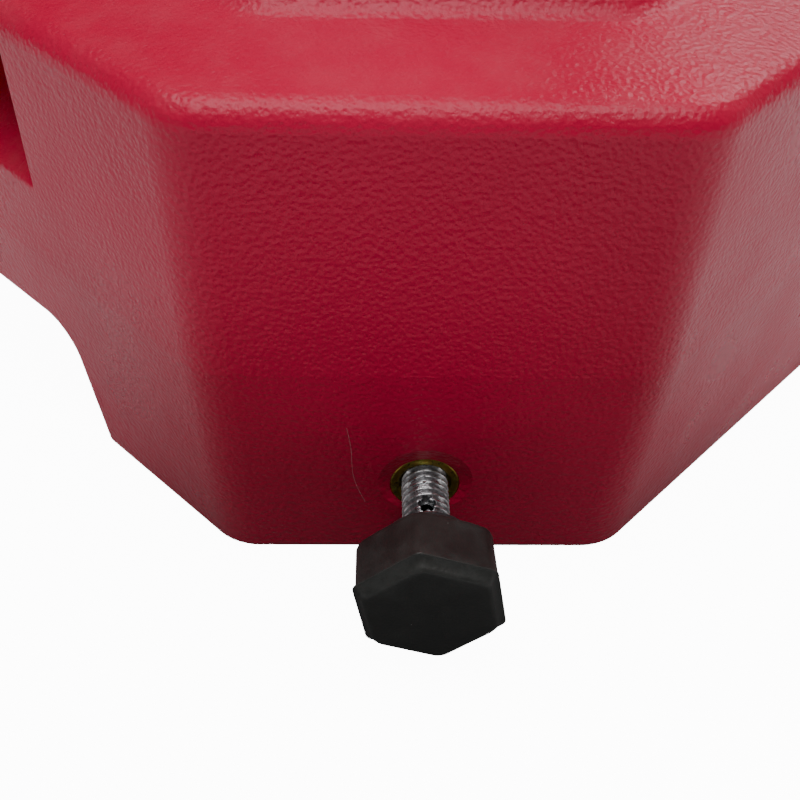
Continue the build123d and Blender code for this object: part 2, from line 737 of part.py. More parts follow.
def make_rivet(side: int) -> Part:
    """The rivet that holds an end reflector."""
    face = end_plane(side, REFLECTOR_Z)
    front = REFLECTOR_THICK - REFLECTOR_SINK
    with BuildPart() as rivet:
        with BuildSketch(face.offset(-RIVET_LENGTH)):
            Circle(RIVET_RADIUS)
        extrude(amount=RIVET_LENGTH + front)
        with BuildSketch(face.offset(front)):
            Circle(RIVET_HEAD_RADIUS)
        extrude(amount=RIVET_HEAD, taper=RIVET_HEAD_TAPER)
    return rivet.part


# ---------------------------------------------------------------- the pieces


def save(part: Part, name: str) -> None:
    """Label a piece and write it."""
    part.label = name
    export_step(part, f"parts/{name}.step")


def main() -> None:
    """Make and write every piece."""
    os.makedirs("parts", exist_ok=True)
    outer = outer_tank()
    taken = hollows()
    for name, (low, high) in blocks().items():
        save(make_block(outer, block_box(low, high), taken), f"tank_{name}")
    for name, turn in (("front", 0), ("rear", 180)):
        save(make_insert(turn), f"{name}_drain_insert")
        save(make_bolt(turn), f"{name}_drain_bolt")
        save(make_knob(turn), f"{name}_drain_knob")
        save(make_seal(turn), f"{name}_drain_seal")
    save(make_neck(), "filler_neck")
    save(make_gasket(), "filler_gasket")
    save(make_cap(), "filler_cap")
    for name, side, levels in (("right", 1, RIGHT_LUG_Z), ("left", -1, LEFT_LUG_Z)):
        for level, foot in zip(("lower", "upper"), levels):
            save(make_block(outer, beyond_end(side, foot), taken), f"tank_{name}_{level}_lug")
            save(make_sleeve(side, foot), f"{name}_{level}_sleeve")
        save(make_reflector(side), f"{name}_reflector")
        save(make_rivet(side), f"{name}_reflector_rivet")
    save(make_pin_rod(), "coupling_pin_rod")
    save(make_pin_collar(), "coupling_pin_collar")
    save(make_pin_handle(), "coupling_pin_handle")
    save(make_strip(-1), "front_strip")
    save(make_strip(1), "rear_strip")


if __name__ == "__main__":
    main()
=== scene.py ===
"""Looks of a water filled road barrier: its moulded tank, drains, filler, couplings and reflectors.

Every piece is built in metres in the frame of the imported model, and rides on one of its bodies.
"""

import json
import logging
import math
import random
from collections.abc import Callable, Sequence
from dataclasses import dataclass, field
from enum import Enum

import bmesh
import bpy
from mathutils import Matrix, Vector, noise


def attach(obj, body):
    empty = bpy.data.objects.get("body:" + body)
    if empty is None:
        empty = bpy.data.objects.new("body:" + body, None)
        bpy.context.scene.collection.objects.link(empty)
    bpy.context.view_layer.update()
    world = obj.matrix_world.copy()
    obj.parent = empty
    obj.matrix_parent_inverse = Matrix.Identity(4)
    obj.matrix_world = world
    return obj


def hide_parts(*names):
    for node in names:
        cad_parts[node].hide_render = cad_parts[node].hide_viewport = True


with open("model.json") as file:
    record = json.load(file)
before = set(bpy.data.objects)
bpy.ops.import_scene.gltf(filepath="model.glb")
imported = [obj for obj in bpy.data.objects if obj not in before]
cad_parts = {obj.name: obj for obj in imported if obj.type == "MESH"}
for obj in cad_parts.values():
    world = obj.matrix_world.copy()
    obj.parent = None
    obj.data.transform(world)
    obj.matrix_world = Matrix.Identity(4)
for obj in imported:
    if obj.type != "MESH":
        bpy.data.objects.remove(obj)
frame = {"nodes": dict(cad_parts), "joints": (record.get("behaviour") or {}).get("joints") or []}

LOG = logging.getLogger("barrier")
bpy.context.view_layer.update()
MM = 0.001
TURN = 2 * math.pi

Colour = tuple[float, float, float]
Radius = Callable[[float, float, float], float]


class Body(Enum):
    """The rigid bodies of the barrier."""

    TANK = "tank_body"
    FRONT_WASHER = "front_drain_washer"
    FRONT_SCREW = "front_drain_screw"
    REAR_WASHER = "rear_drain_washer"
    REAR_SCREW = "rear_drain_screw"
    RING = "filler_ring"
    LID = "filler_lid"
    PIN = "coupling_pin"


# ---------------------------------------------------------------- wiring shader nodes


@dataclass
class Board:
    """A shader node tree that is being wired.

    Args:
        tree: the tree of a material or of a node group.
    """

    tree: bpy.types.NodeTree

    def add(self, kind: str, **settings: object) -> bpy.types.Node:
        """Add a node.

        Args:
            kind: the node's type.
            settings: properties of the node, by name.

        Returns:
            The new node.
        """
        node = self.tree.nodes.new(kind)
        for name, value in settings.items():
            setattr(node, name, value)
        return node

    def feed(self, socket: bpy.types.NodeSocket, value: object) -> None:
        """Link value into a socket if it is a socket, or set it there if it is a number or colour."""
        if isinstance(value, bpy.types.NodeSocket):
            self.tree.links.new(value, socket)
        else:
            socket.default_value = value

    def math(self, operation: str, *values: object, clamp: bool = False) -> bpy.types.NodeSocket:
        """Add a Math node.

        Args:
            operation: its operation.
            values: up to three sockets or numbers.
            clamp: whether the result is kept between 0 and 1.

        Returns:
            The node's output.
        """
        node = self.add("ShaderNodeMath", operation=operation, use_clamp=clamp)
        for socket, value in zip(node.inputs, values):
            self.feed(socket, value)
        return node.outputs[0]

    def mix(self, factor: object, first: object, second: object) -> bpy.types.NodeSocket:
        """Blend two colours by a factor, and return the result."""
        node = self.add("ShaderNodeMix", data_type="RGBA")
        for name, value in (("Factor_Float", factor), ("A_Color", first), ("B_Color", second)):
            socket = next(s for s in node.inputs if s.identifier == name)
            self.feed(socket, value)
        return next(s for s in node.outputs if s.identifier == "Result_Color")

    def span(self, value: object, low: float, high: float,
             to: tuple[float, float] = (0.0, 1.0)) -> bpy.types.NodeSocket:
        """Map a value from low..high to another range, held at its ends.

        Args:
            value: a socket.
            low: the value that gives the range's start.
            high: the value that gives its end.
            to: the range given back.

        Returns:
            The mapped value.
        """
        node = self.add("ShaderNodeMapRange", interpolation_type="SMOOTHSTEP")
        for name, number in (("Value", value), ("From Min", low), ("From Max", high), ("To Min", to[0]),
                             ("To Max", to[1])):
            self.feed(node.inputs[name], number)
        return node.outputs["Result"]

    def place(self) -> bpy.types.NodeSocket:
        """The point on the piece, in metres in the barrier's frame at rest."""
        return self.add("ShaderNodeTexCoord").outputs["Object"]

    def noise(self, point: object, scale: float, detail: float = 2.0,
              rough: float = 0.5) -> bpy.types.NodeSocket:
        """A cloudy value.

        Args:
            point: where it is read.
            scale: clouds to the metre.
            detail: how many finer layers it has.
            rough: how strong they are.

        Returns:
            The value.
        """
        node = self.add("ShaderNodeTexNoise")
        for name, value in (("Vector", point), ("Scale", scale), ("Detail", detail), ("Roughness", rough)):
            self.feed(node.inputs[name], value)
        return node.outputs["Fac"]

    def cells(self, point: object, scale: object, feature: str = "F1",
              output: str = "Distance") -> bpy.types.NodeSocket:
        """A value from scattered cells.

        Args:
            point: where it is read.
            scale: cells to the metre.
            feature: which of the Voronoi texture's features.
            output: which of its outputs.

        Returns:
            The value.
        """
        node = self.add("ShaderNodeTexVoronoi", feature=feature)
        self.feed(node.inputs["Vector"], point)
        self.feed(node.inputs["Scale"], scale)
        return node.outputs[output]

    def bump(self, height: object, distance: float, strength: float = 1.0) -> bpy.types.NodeSocket:
        """A normal from a height.

        Args:
            height: the height, 0 to 1.
            distance: how many metres a height of 1 stands for.
            strength: how much of it shows.

        Returns:
            The normal.
        """
        node = self.add("ShaderNodeBump")
        node.inputs["Strength"].default_value = strength
        node.inputs["Distance"].default_value = distance
        self.feed(node.inputs["Height"], height)
        return node.outputs["Normal"]


def group(name: str, takes: Sequence[tuple[str, float]], gives: Sequence[str]) -> tuple[Board, bpy.types.Node,
                                                                                        bpy.types.Node]:
    """Start a shader node group with named sockets.

    Args:
        name: the group's name.
        takes: the inputs' names and their usual values.
        gives: the outputs' names.

    Returns:
        The group's board, its input node and its output node.
    """
    tree = bpy.data.node_groups.new(name, "ShaderNodeTree")
    for socket_name, value in takes:
        socket = tree.interface.new_socket(socket_name, in_out="INPUT", socket_type="NodeSocketFloat")
        socket.default_value = value
    for socket_name in gives:
        tree.interface.new_socket(socket_name, in_out="OUTPUT", socket_type="NodeSocketFloat")
    board = Board(tree)
    return board, board.add("NodeGroupInput"), board.add("NodeGroupOutput")


class Effect:
    """Effects that several materials share, each a node group that is built once."""

    _built: dict[str, bpy.types.NodeTree] = {}

    @classmethod
    def use(cls, board: Board, name: str, **values: float) -> bpy.types.Node:
        """Place an effect in a material.

        Args:
            board: the material's board.
            name: the effect's name, which is also its method's.
            values: its inputs, by name in lower case with _ for a space.

        Returns:
            The group node.
        """
        if name not in cls._built:
            cls._built[name] = getattr(cls, name)()
        node = board.add("ShaderNodeGroup", node_tree=cls._built[name])
        for key, value in values.items():
            board.feed(node.inputs[key.replace("_", " ").capitalize()], value)
        return node

    @staticmethod
    def grain() -> bpy.types.NodeTree:
        """The pebbled grain of moulded plastic: rounded cells with finer ones between, over slow waves.

        Returns:
            The group, with Cells per metre, Fine share and Wave share in, and Height out.
        """
        takes = [("Cells", 900.0), ("Fine", 0.35), ("Wave", 0.5)]
        board, source, target = group("moulded grain", takes, ["Height"])
        point = board.place()
        pebble = board.cells(point, source.outputs["Cells"], "SMOOTH_F1")
        finer = board.math("MULTIPLY", source.outputs["Cells"], 2.7)
        fine = board.noise(point, finer, 2.0, 0.6)
        wave = board.noise(point, 22.0, 1.0)
        height = board.math("MULTIPLY_ADD", fine, source.outputs["Fine"], pebble)
        height = board.math("MULTIPLY_ADD", wave, source.outputs["Wave"], height)
        board.feed(target.inputs["Height"], height)
        return board.tree

    @staticmethod
    def specks() -> bpy.types.NodeTree:
        """Small scattered specks of dirt, thicker in some places than in others.

        Returns:
            The group, with Density and Size in, and Mask out.
        """
        board, source, target = group("dirt specks", [("Density", 260.0), ("Size", 0.06)], ["Mask"])
        point = board.place()
        spot = board.cells(point, source.outputs["Density"])
        here = board.math("SUBTRACT", source.outputs["Size"], spot)
        sharp = board.math("MULTIPLY", here, 60.0, clamp=True)
        patch = board.span(board.noise(point, 30.0, 3.0), 0.42, 0.62)
        board.feed(target.inputs["Mask"], board.math("MULTIPLY", sharp, patch))
        return board.tree

    @staticmethod
    def dust() -> bpy.types.NodeTree:
        """Dust that lies on faces that look upwards.

        Returns:
            The group, with Amount in, and Mask out.
        """
        board, source, target = group("settled dust", [("Amount", 0.3)], ["Mask"])
        facing = board.add("ShaderNodeSeparateXYZ")
        board.feed(facing.inputs[0], board.add("ShaderNodeNewGeometry").outputs["Normal"])
        upward = board.span(facing.outputs["Z"], 0.2, 1.0)
        cloud = board.noise(board.place(), 60.0, 6.0, 0.65)
        thick = board.span(cloud, 0.35, 0.75)
        mask = board.math("MULTIPLY", board.math("MULTIPLY", upward, thick), source.outputs["Amount"])
        board.feed(target.inputs["Mask"], mask)
        return board.tree

    @staticmethod
    def worn_edges() -> bpy.types.NodeTree:
        """Edges that are rubbed, from how sharply the surface turns.

        Returns:
            The group, with Start in, and Mask out.
        """
        board, source, target = group("worn edges", [("Start", 0.54)], ["Mask"])
        point = board.add("ShaderNodeNewGeometry").outputs["Pointiness"]
        lift = board.math("SUBTRACT", point, source.outputs["Start"])
        sharp = board.math("MULTIPLY", lift, 14.0, clamp=True)
        cloud = board.span(board.noise(board.place(), 700.0, 4.0, 0.7), 0.35, 0.65)
        board.feed(target.inputs["Mask"], board.math("MULTIPLY", sharp, cloud))
        return board.tree


# ---------------------------------------------------------------- building meshes


@dataclass(frozen=True)
class Seat:
    """A place on the barrier with its own axes: right, up and out.

    Args:
        origin: the point.
        right: the local X axis.
        up: the local Y axis.
        out: the local Z axis.
    """

    origin: Vector
    right: Vector
    up: Vector
    out: Vector

    def matrix(self) -> Matrix:
        """The matrix from the seat's axes to the barrier's."""
        turn = Matrix((self.right, self.up, self.out)).transposed()
        return Matrix.Translation(self.origin) @ turn.to_4x4()

    @classmethod
    def upright(cls, x: float, y: float, z: float) -> "Seat":
        """A seat whose axes are the barrier's own."""
        return cls(Vector((x, y, z)), Vector((1, 0, 0)), Vector((0, 1, 0)), Vector((0, 0, 1)))

    @classmethod
    def facing(cls, origin: Vector, out: Vector) -> "Seat":
        """A seat on a wall: its out axis leaves the wall, and its up axis is as upright as it can be."""
        out = out.normalized()
        right = Vector((0, 0, 1)).cross(out).normalized()
        return cls(origin, right, out.cross(right), out)


class Mould:
    """Makes pieces out of rings of points."""

    @staticmethod
    def piece(name: str, mesh: bmesh.types.BMesh, seat: Seat, smooth: float = 35.0) -> bpy.types.Object:
        """Turn a finished bmesh into a piece.

        Args:
            name: the piece's name.
            mesh: its faces, in the seat's axes.
            seat: where it sits.
            smooth: edges sharper than this many degrees stay crisp.

        Returns:
            The object.
        """
        bmesh.ops.recalc_face_normals(mesh, faces=mesh.faces)
        mesh.transform(seat.matrix())
        data = bpy.data.meshes.new(name)
        for face in mesh.faces:
            face.smooth = True
        limit = math.radians(smooth)
        for edge in mesh.edges:
            edge.smooth = len(edge.link_faces) == 2 and edge.calc_face_angle(0.0) < limit
        mesh.to_mesh(data)
        mesh.free()
        obj = bpy.data.objects.new(name, data)
        bpy.context.scene.collection.objects.link(obj)
        return obj

    @staticmethod
    def rings(loops: Sequence[Sequence[Vector]], ends: bool = True,
              around: bool = False) -> bmesh.types.BMesh:
        """Skin a row of closed loops that have the same number of points.

        Args:
            loops: the loops, in order.
            ends: whether the first and last loops are closed with a face.
            around: whether the last loop joins the first.

        Returns:
            The mesh.
        """
        mesh = bmesh.new()
        rows = [[mesh.verts.new(point) for point in loop] for loop in loops]
        pairs = list(zip(rows, rows[1:])) + ([(rows[-1], rows[0])] if around else [])
        for near, far in pairs:
            for i, vert in enumerate(near):
                j = (i + 1) % len(near)
                mesh.faces.new((vert, near[j], far[j], far[i]))
        if ends and not around:
            mesh.faces.new(list(reversed(rows[0])))
            mesh.faces.new(rows[-1])
        return mesh

    @classmethod
    def lathe(cls, profile: Sequence[tuple[float, float]], steps: int = 96, shape: Radius | None = None,
              ring: bool = False) -> bmesh.types.BMesh:
        """Turn a profile round the out axis.

        Args:
            profile: (radius, height) in millimetres, from one end to the other.
            steps: points to the turn.
            shape: gives the radius from the angle, the profile's radius and the height, if it isn't round.
            ring: whether the profile's end joins its start, as on a ring with a hole.

        Returns:
            The mesh, in metres.
        """
        loops = []
        for radius, height in profile:
            loop = []
            for i in range(steps):
                angle = TURN * i / steps
                reach = (shape(angle, radius, height) if shape else radius) * MM
                loop.append(Vector((reach * math.cos(angle), reach * math.sin(angle), height * MM)))
            loops.append(loop)
        return cls.rings(loops, ends=not ring, around=ring)

    @classmethod
    def tube(cls, path: Sequence[Vector], radius: float, steps: int = 32) -> bmesh.types.BMesh:
        """Sweep a round rod along a path, with slightly rounded ends.

        Args:
            path: the points of its middle, in metres.
            radius: in metres.
            steps: points round the rod.

        Returns:
            The mesh.
        """
        loops = []
        side = (path[1] - path[0]).orthogonal().normalized()
        for i, point in enumerate(path):
            before, after = path[max(i - 1, 0)], path[min(i + 1, len(path) - 1)]
            along = (after - before).normalized()
            side = (side - along * side.dot(along)).normalized()
            other = along.cross(side)
            loops.append([point + (side * math.cos(a) + other * math.sin(a)) * radius
                          for a in (TURN * k / steps for k in range(steps))])
        return cls.rings(loops)

    @staticmethod
    def cut(target: bpy.types.Object, cutter: bpy.types.Object, operation: str = "DIFFERENCE") -> None:
        """Cut one object with another, or join them, and remove the cutter.

        Args:
            target: the object that stays.
            cutter: the object that is used up.
            operation: a Boolean modifier's operation.
        """
        modifier = target.modifiers.new("cut", "BOOLEAN")
        modifier.operation = operation
        modifier.solver = "EXACT"
        modifier.object = cutter
        graph = bpy.context.evaluated_depsgraph_get()
        done = bpy.data.meshes.new_from_object(target.evaluated_get(graph))
        target.modifiers.clear()
        target.data = done
        bpy.data.objects.remove(cutter)


def arc(centre: tuple[float, float], radius: float, start: float, stop: float,
        steps: int = 5) -> list[tuple[float, float]]:
    """Points along an arc of a profile.

    Args:
        centre: the arc's centre as (radius, height), in millimetres.
        radius: its radius.
        start: the angle it starts at, in degrees from the profile's radius axis.
        stop: the angle it stops at.
        steps: how many pieces it has.

    Returns:
        The points.
    """
    angles = [math.radians(start + (stop - start) * i / steps) for i in range(steps + 1)]
    return [(centre[0] + radius * math.cos(a), centre[1] + radius * math.sin(a)) for a in angles]


def rounded_path(corners: Sequence[Vector], radius: float, steps: int = 8) -> list[Vector]:
    """A path through corners, each rounded by an arc.

    Args:
        corners: the path's corners.
        radius: the bends' radius.
        steps: pieces to a bend.

    Returns:
        The path's points.
    """
    path = [corners[0]]
    for before, here, after in zip(corners, corners[1:], corners[2:]):
        back, ahead = (before - here).normalized(), (after - here).normalized()
        half = back.angle(ahead) / 2
        centre = here + (back + ahead).normalized() * radius / math.sin(half)
        first, last = here + back * radius / math.tan(half), here + ahead * radius / math.tan(half)
        for i in range(steps + 1):
            path.append(centre + (first - centre).slerp(last - centre, i / steps))
    return path + [corners[-1]]


@dataclass(frozen=True)
class Thread:
    """A screw thread with flats on its crests and roots.

    Args:
        crest: radius over the crests, in millimetres.
        depth: how deep it is cut.
        pitch: the rise in one turn.
        runout: the length over which it fades at each end.
        low: the height it starts at.
        high: the height it stops at.
    """

    crest: float
    depth: float
    pitch: float
    runout: float
    low: float
    high: float

    def radius(self, angle: float, radius: float, height: float) -> float:
        """The thread's radius at an angle and height, for a lathe.

        Args:
            angle: in radians.
            radius: the plain radius there.
            height: in millimetres.

        Returns:
            The radius in millimetres.
        """
        if not self.low <= height <= self.high or abs(radius - self.crest) > 0.01:
            return radius
        phase = abs((height / self.pitch - angle / TURN) % 1.0 - 0.5) * 2
        rise = min(max((0.82 - phase) / 0.64, 0.0), 1.0)
        fade = min(1.0, (height - self.low) / self.runout, (self.high - height) / self.runout)
        return radius - self.depth * (1 - rise * max(fade, 0.0))

    def heights(self, per_turn: int = 16) -> list[float]:
        """Heights close enough together to show the thread."""
        count = round((self.high - self.low) / self.pitch * per_turn)
        return [self.low + (self.high - self.low) * i / count for i in range(count + 1)]


# ---------------------------------------------------------------- finishes


def coat(obj: bpy.types.Object, material: bpy.types.Material) -> None:
    """Give an object one material all over, keeping its slots."""
    if not obj.material_slots:
        obj.data.materials.append(material)
    for slot in obj.material_slots:
        slot.material = material


def blank(name: str) -> tuple[bpy.types.Material, Board, bpy.types.Node]:
    """A new material with a lone Principled shader.

    Args:
        name: the material's name.

    Returns:
        The material, its board and its shader.
    """
    material = bpy.data.materials.new(name)
    material.use_nodes = True
    board = Board(material.node_tree)
    shader = next(n for n in board.tree.nodes if n.type == "BSDF_PRINCIPLED")
    return material, board, shader


def tint(colour: Colour, factor: float = 1.0) -> tuple[float, float, float, float]:
    """A colour made lighter or darker, with full alpha."""
    return (*(min(channel * factor, 1.0) for channel in colour), 1.0)


@dataclass(frozen=True)
class TankPlastic:
    """Dyed polyethylene as it leaves a rotating mould: a pebbled skin with dirt specks and settled dust.

    Args:
        name: the material's name.
        colour: the dye.
        shade: the dye where it lies thicker.
        roughness: of the skin between its pebbles.
        cells: pebbles to the metre.
        relief: the pebbles' height in metres.
    """

    name: str = "tank_plastic"
    colour: Colour = (0.56, 0.0065, 0.052)
    shade: Colour = (0.46, 0.0050, 0.040)
    roughness: float = 0.30
    cells: float = 900.0
    relief: float = 0.00024

    def build(self) -> bpy.types.Material:
        """Build the material."""
        material, board, shader = blank(self.name)
        point = board.place()
        cloud = board.span(board.noise(point, 9.0, 3.0), 0.3, 0.7)
        colour = board.mix(cloud, tint(self.shade), tint(self.colour))
        specks = Effect.use(board, "specks", density=650.0, size=0.05).outputs["Mask"]
        colour = board.mix(board.math("MULTIPLY", specks, 0.6), colour, (0.05, 0.004, 0.008, 1))
        dust = Effect.use(board, "dust", amount=0.05).outputs["Mask"]
        colour = board.mix(dust, colour, (0.62, 0.45, 0.42, 1))
        board.feed(shader.inputs["Base Color"], colour)
        patch = board.noise(point, 35.0, 3.0)
        board.feed(shader.inputs["Roughness"],
                   board.span(patch, 0.3, 0.7, (self.roughness - 0.04, self.roughness + 0.05)))
        grain = Effect.use(board, "grain", cells=self.cells, fine=0.35, wave=0.7).outputs["Height"]
        board.feed(shader.inputs["Normal"], board.bump(grain, self.relief))
        shader.inputs["IOR"].default_value = 1.36
        shader.inputs["Specular IOR Level"].default_value = 0.38
        return material


@dataclass(frozen=True)
class MouldedBlack:
    """Black moulded plastic: soft sheen, faint flow marks, rubbed edges and lint.

    Args:
        name: the material's name.
        colour: the plastic's colour.
        rubbed: its colour where it is worn.
        roughness: its sheen.
    """

    name: str
    colour: Colour = (0.0125, 0.0130, 0.0118)
    rubbed: Colour = (0.045, 0.044, 0.040)
    roughness: float = 0.42

    def build(self) -> bpy.types.Material:
        """Build the material."""
        material, board, shader = blank(self.name)
        point = board.place()
        cloud = board.span(board.noise(point, 140.0, 4.0, 0.6), 0.35, 0.75)
        colour = board.mix(cloud, tint(self.colour), tint(self.colour, 1.7))
        worn = Effect.use(board, "worn_edges", start=0.53).outputs["Mask"]
        colour = board.mix(board.math("MULTIPLY", worn, 0.6), colour, tint(self.rubbed))
        lint = Effect.use(board, "specks", density=330.0, size=0.045).outputs["Mask"]
        colour = board.mix(lint, colour, (0.36, 0.35, 0.34, 1))
        dust = Effect.use(board, "dust", amount=0.10).outputs["Mask"]
        colour = board.mix(dust, colour, (0.20, 0.18, 0.16, 1))
        board.feed(shader.inputs["Base Color"], colour)
        board.feed(shader.inputs["Roughness"],
                   board.span(cloud, 0.0, 1.0, (self.roughness, self.roughness + 0.14)))
        grain = Effect.use(board, "grain", cells=1500.0, fine=0.6, wave=0.8).outputs["Height"]
        board.feed(shader.inputs["Normal"], board.bump(grain, 0.00004))
        return material


@dataclass(frozen=True)
class PlatedSteel:
    """Plated steel: bright on its worn crests, duller and stained in patches.

    Args:
        name: the material's name.
        colour: the plating.
        stain: the plating where it is stained.
        roughness: of the clean plating.
        scratch: how many metres deep its scratches look.
    """

    name: str
    colour: Colour = (0.66, 0.67, 0.68)
    stain: Colour = (0.20, 0.19, 0.20)
    roughness: float = 0.24
    scratch: float = 0.00002

    def build(self) -> bpy.types.Material:
        """Build the material."""
        material, board, shader = blank(self.name)
        point = board.place()
        cloud = board.span(board.noise(point, 260.0, 5.0, 0.65), 0.35, 0.68)
        colour = board.mix(cloud, tint(self.stain), tint(self.colour))
        worn = Effect.use(board, "worn_edges", start=0.52).outputs["Mask"]
        colour = board.mix(worn, colour, tint(self.colour, 1.25))
        board.feed(shader.inputs["Base Color"], colour)
        board.feed(shader.inputs["Roughness"],
                   board.span(cloud, 0.0, 1.0, (self.roughness + 0.22, self.roughness)))
        shader.inputs["Metallic"].default_value = 1.0
        streak = board.noise(point, 1800.0, 3.0, 0.7)
        board.feed(shader.inputs["Normal"], board.bump(streak, self.scratch))
        return material


@dataclass(frozen=True)
class Rubber:
    """Black rubber with a faint bloom.

    Args:
        colour: the rubber's colour.
        bloom: its colour where it has bloomed.
    """

    colour: Colour = (0.014, 0.014, 0.015)
    bloom: Colour = (0.055, 0.053, 0.052)

    def build(self) -> bpy.types.Material:
        """Build the material."""
        material, board, shader = blank("seal_rubber")
        cloud = board.span(board.noise(board.place(), 300.0, 5.0, 0.6), 0.40, 0.75)
        board.feed(shader.inputs["Base Color"], board.mix(cloud, tint(self.colour), tint(self.bloom)))
        board.feed(shader.inputs["Roughness"], board.span(cloud, 0.0, 1.0, (0.62, 0.85)))
        grain = Effect.use(board, "grain", cells=2200.0, fine=0.8, wave=0.2).outputs["Height"]
        board.feed(shader.inputs["Normal"], board.bump(grain, 0.00003))
        return material


@dataclass(frozen=True)
class YellowPassivate:
    """Zinc plate with a yellow chromate film, dull and uneven, that glints green where it catches light.

    Args:
        colour: the film's usual colour.
        glint: its colour in thin patches.
        grime: its colour where dirt has settled.
    """

    colour: Colour = (0.40, 0.29, 0.055)
    glint: Colour = (0.60, 0.62, 0.12)
    grime: Colour = (0.11, 0.075, 0.022)

    def build(self) -> bpy.types.Material:
        """Build the material."""
        material, board, shader = blank("insert_metal")
        point = board.place()
        film = board.span(board.noise(point, 420.0, 4.0, 0.6), 0.50, 0.74)
        colour = board.mix(film, tint(self.colour), tint(self.glint))
        dirt = board.span(board.noise(point, 700.0, 5.0, 0.65), 0.52, 0.70)
        colour = board.mix(dirt, colour, tint(self.grime))
        board.feed(shader.inputs["Base Color"], colour)
        board.feed(shader.inputs["Roughness"], board.span(dirt, 0.0, 1.0, (0.34, 0.62)))
        shader.inputs["Metallic"].default_value = 1.0
        board.feed(shader.inputs["Normal"], board.bump(board.noise(point, 2600.0, 3.0), 0.00002))
        return material


@dataclass(frozen=True)
class Sheeting:
    """Prismatic reflective sheeting: pale cells between sealing lines that cross at a slant.

    Args:
        colour: of the cells.
        seal: of the lines.
        pitch: from line to line, in metres.
    """

    colour: Colour = (0.74, 0.76, 0.78)
    seal: Colour = (0.90, 0.91, 0.92)
    pitch: float = 0.011

    def build(self) -> bpy.types.Material:
        """Build the material."""
        material, board, shader = blank("strip_sheeting")
        parts = board.add("ShaderNodeSeparateXYZ")
        board.feed(parts.inputs[0], board.place())
        lines = []
        for sign in ("ADD", "SUBTRACT"):
            slant = board.math(sign, board.math("MULTIPLY", parts.outputs["X"], 0.6), parts.outputs["Z"])
            phase = board.math("FRACT", board.math("DIVIDE", slant, self.pitch))
            lines.append(board.math("ABSOLUTE", board.math("SUBTRACT", phase, 0.5)))
        nearest = board.math("MINIMUM", lines[0], lines[1])
        line = board.math("MULTIPLY", board.math("SUBTRACT", 0.045, nearest), 60.0, clamp=True)
        prism = board.cells(board.place(), 2600.0, output="Color")
        sparkle = board.mix(0.35, tint(self.colour), prism)
        board.feed(shader.inputs["Base Color"],
                   board.mix(line, board.mix(0.65, sparkle, tint(self.colour)), tint(self.seal)))
        board.feed(shader.inputs["Roughness"], board.span(line, 0.0, 1.0, (0.22, 0.42)))
        board.feed(shader.inputs["Metallic"], board.span(line, 0.0, 1.0, (0.35, 0.0)))
        facets = board.cells(board.place(), 1300.0, "F1", "Distance")
        height = board.math("MULTIPLY_ADD", line, 0.8, facets)
        board.feed(shader.inputs["Normal"], board.bump(height, 0.00006))
        shader.inputs["Coat Weight"].default_value = 0.6
        shader.inputs["Coat Roughness"].default_value = 0.06
        return material


@dataclass(frozen=True)
class AmberLens:
    """An amber reflector lens: clear outside, cut into small prisms behind.

    Args:
        colour: the lens's colour.
        deep: its colour in the prisms' hollows.
    """

    colour: Colour = (0.85, 0.26, 0.015)
    deep: Colour = (0.42, 0.085, 0.004)

    def build(self) -> bpy.types.Material:
        """Build the material."""
        material, board, shader = blank("reflector_plastic")
        prism = board.cells(board.place(), 420.0, "F1", "Distance")
        depth = board.span(prism, 0.05, 0.60)
        board.feed(shader.inputs["Base Color"], board.mix(depth, tint(self.colour), tint(self.deep)))
        board.feed(shader.inputs["Roughness"], board.span(depth, 0.0, 1.0, (0.12, 0.28)))
        board.feed(shader.inputs["Normal"], board.bump(prism, 0.0005, 0.7))
        shader.inputs["Coat Weight"].default_value = 1.0
        shader.inputs["Coat Roughness"].default_value = 0.03
        return material


@dataclass
class Finishes:
    """The barrier's materials, each built once.

    Args:
        tank: the tank's plastic.
        scratch: the same plastic where it is scratched.
        black: the drain heads' plastic.
        fitting: the filler's plastic.
        bolt: the drain bolts' plating.
        insert: the drain inserts' plating.
        pin: the coupling pin's plating.
        sleeve: the lug sleeves' plating.
        rivet: the rivets' aluminium.
        rubber: the seals' rubber.
        strip: the reflective sheeting.
        lens: the end reflectors' lens.
    """

    tank: bpy.types.Material = field(default_factory=lambda: TankPlastic().build())
    scratch: bpy.types.Material = field(
        default_factory=lambda: TankPlastic("tank_plastic.scratch", (0.72, 0.30, 0.33),
                                            (0.60, 0.22, 0.26)).build())
    black: bpy.types.Material = field(default_factory=lambda: MouldedBlack("head_plastic").build())
    fitting: bpy.types.Material = field(default_factory=lambda: MouldedBlack("fitting_plastic",
                                                                             roughness=0.36).build())
    bolt: bpy.types.Material = field(default_factory=lambda: PlatedSteel("bolt_steel").build())
    insert: bpy.types.Material = field(default_factory=lambda: YellowPassivate().build())
    pin: bpy.types.Material = field(
        default_factory=lambda: PlatedSteel("pin_steel", (0.50, 0.51, 0.52), (0.24, 0.23, 0.22),
                                            0.34).build())
    sleeve: bpy.types.Material = field(
        default_factory=lambda: PlatedSteel("sleeve_steel", (0.52, 0.53, 0.54), (0.22, 0.21, 0.20),
                                            0.36).build())
    rivet: bpy.types.Material = field(
        default_factory=lambda: PlatedSteel("rivet_aluminium", (0.78, 0.78, 0.78), (0.40, 0.40, 0.40),
                                            0.30).build())
    rubber: bpy.types.Material = field(default_factory=lambda: Rubber().build())
    strip: bpy.types.Material = field(default_factory=lambda: Sheeting().build())
    lens: bpy.types.Material = field(default_factory=lambda: AmberLens().build())


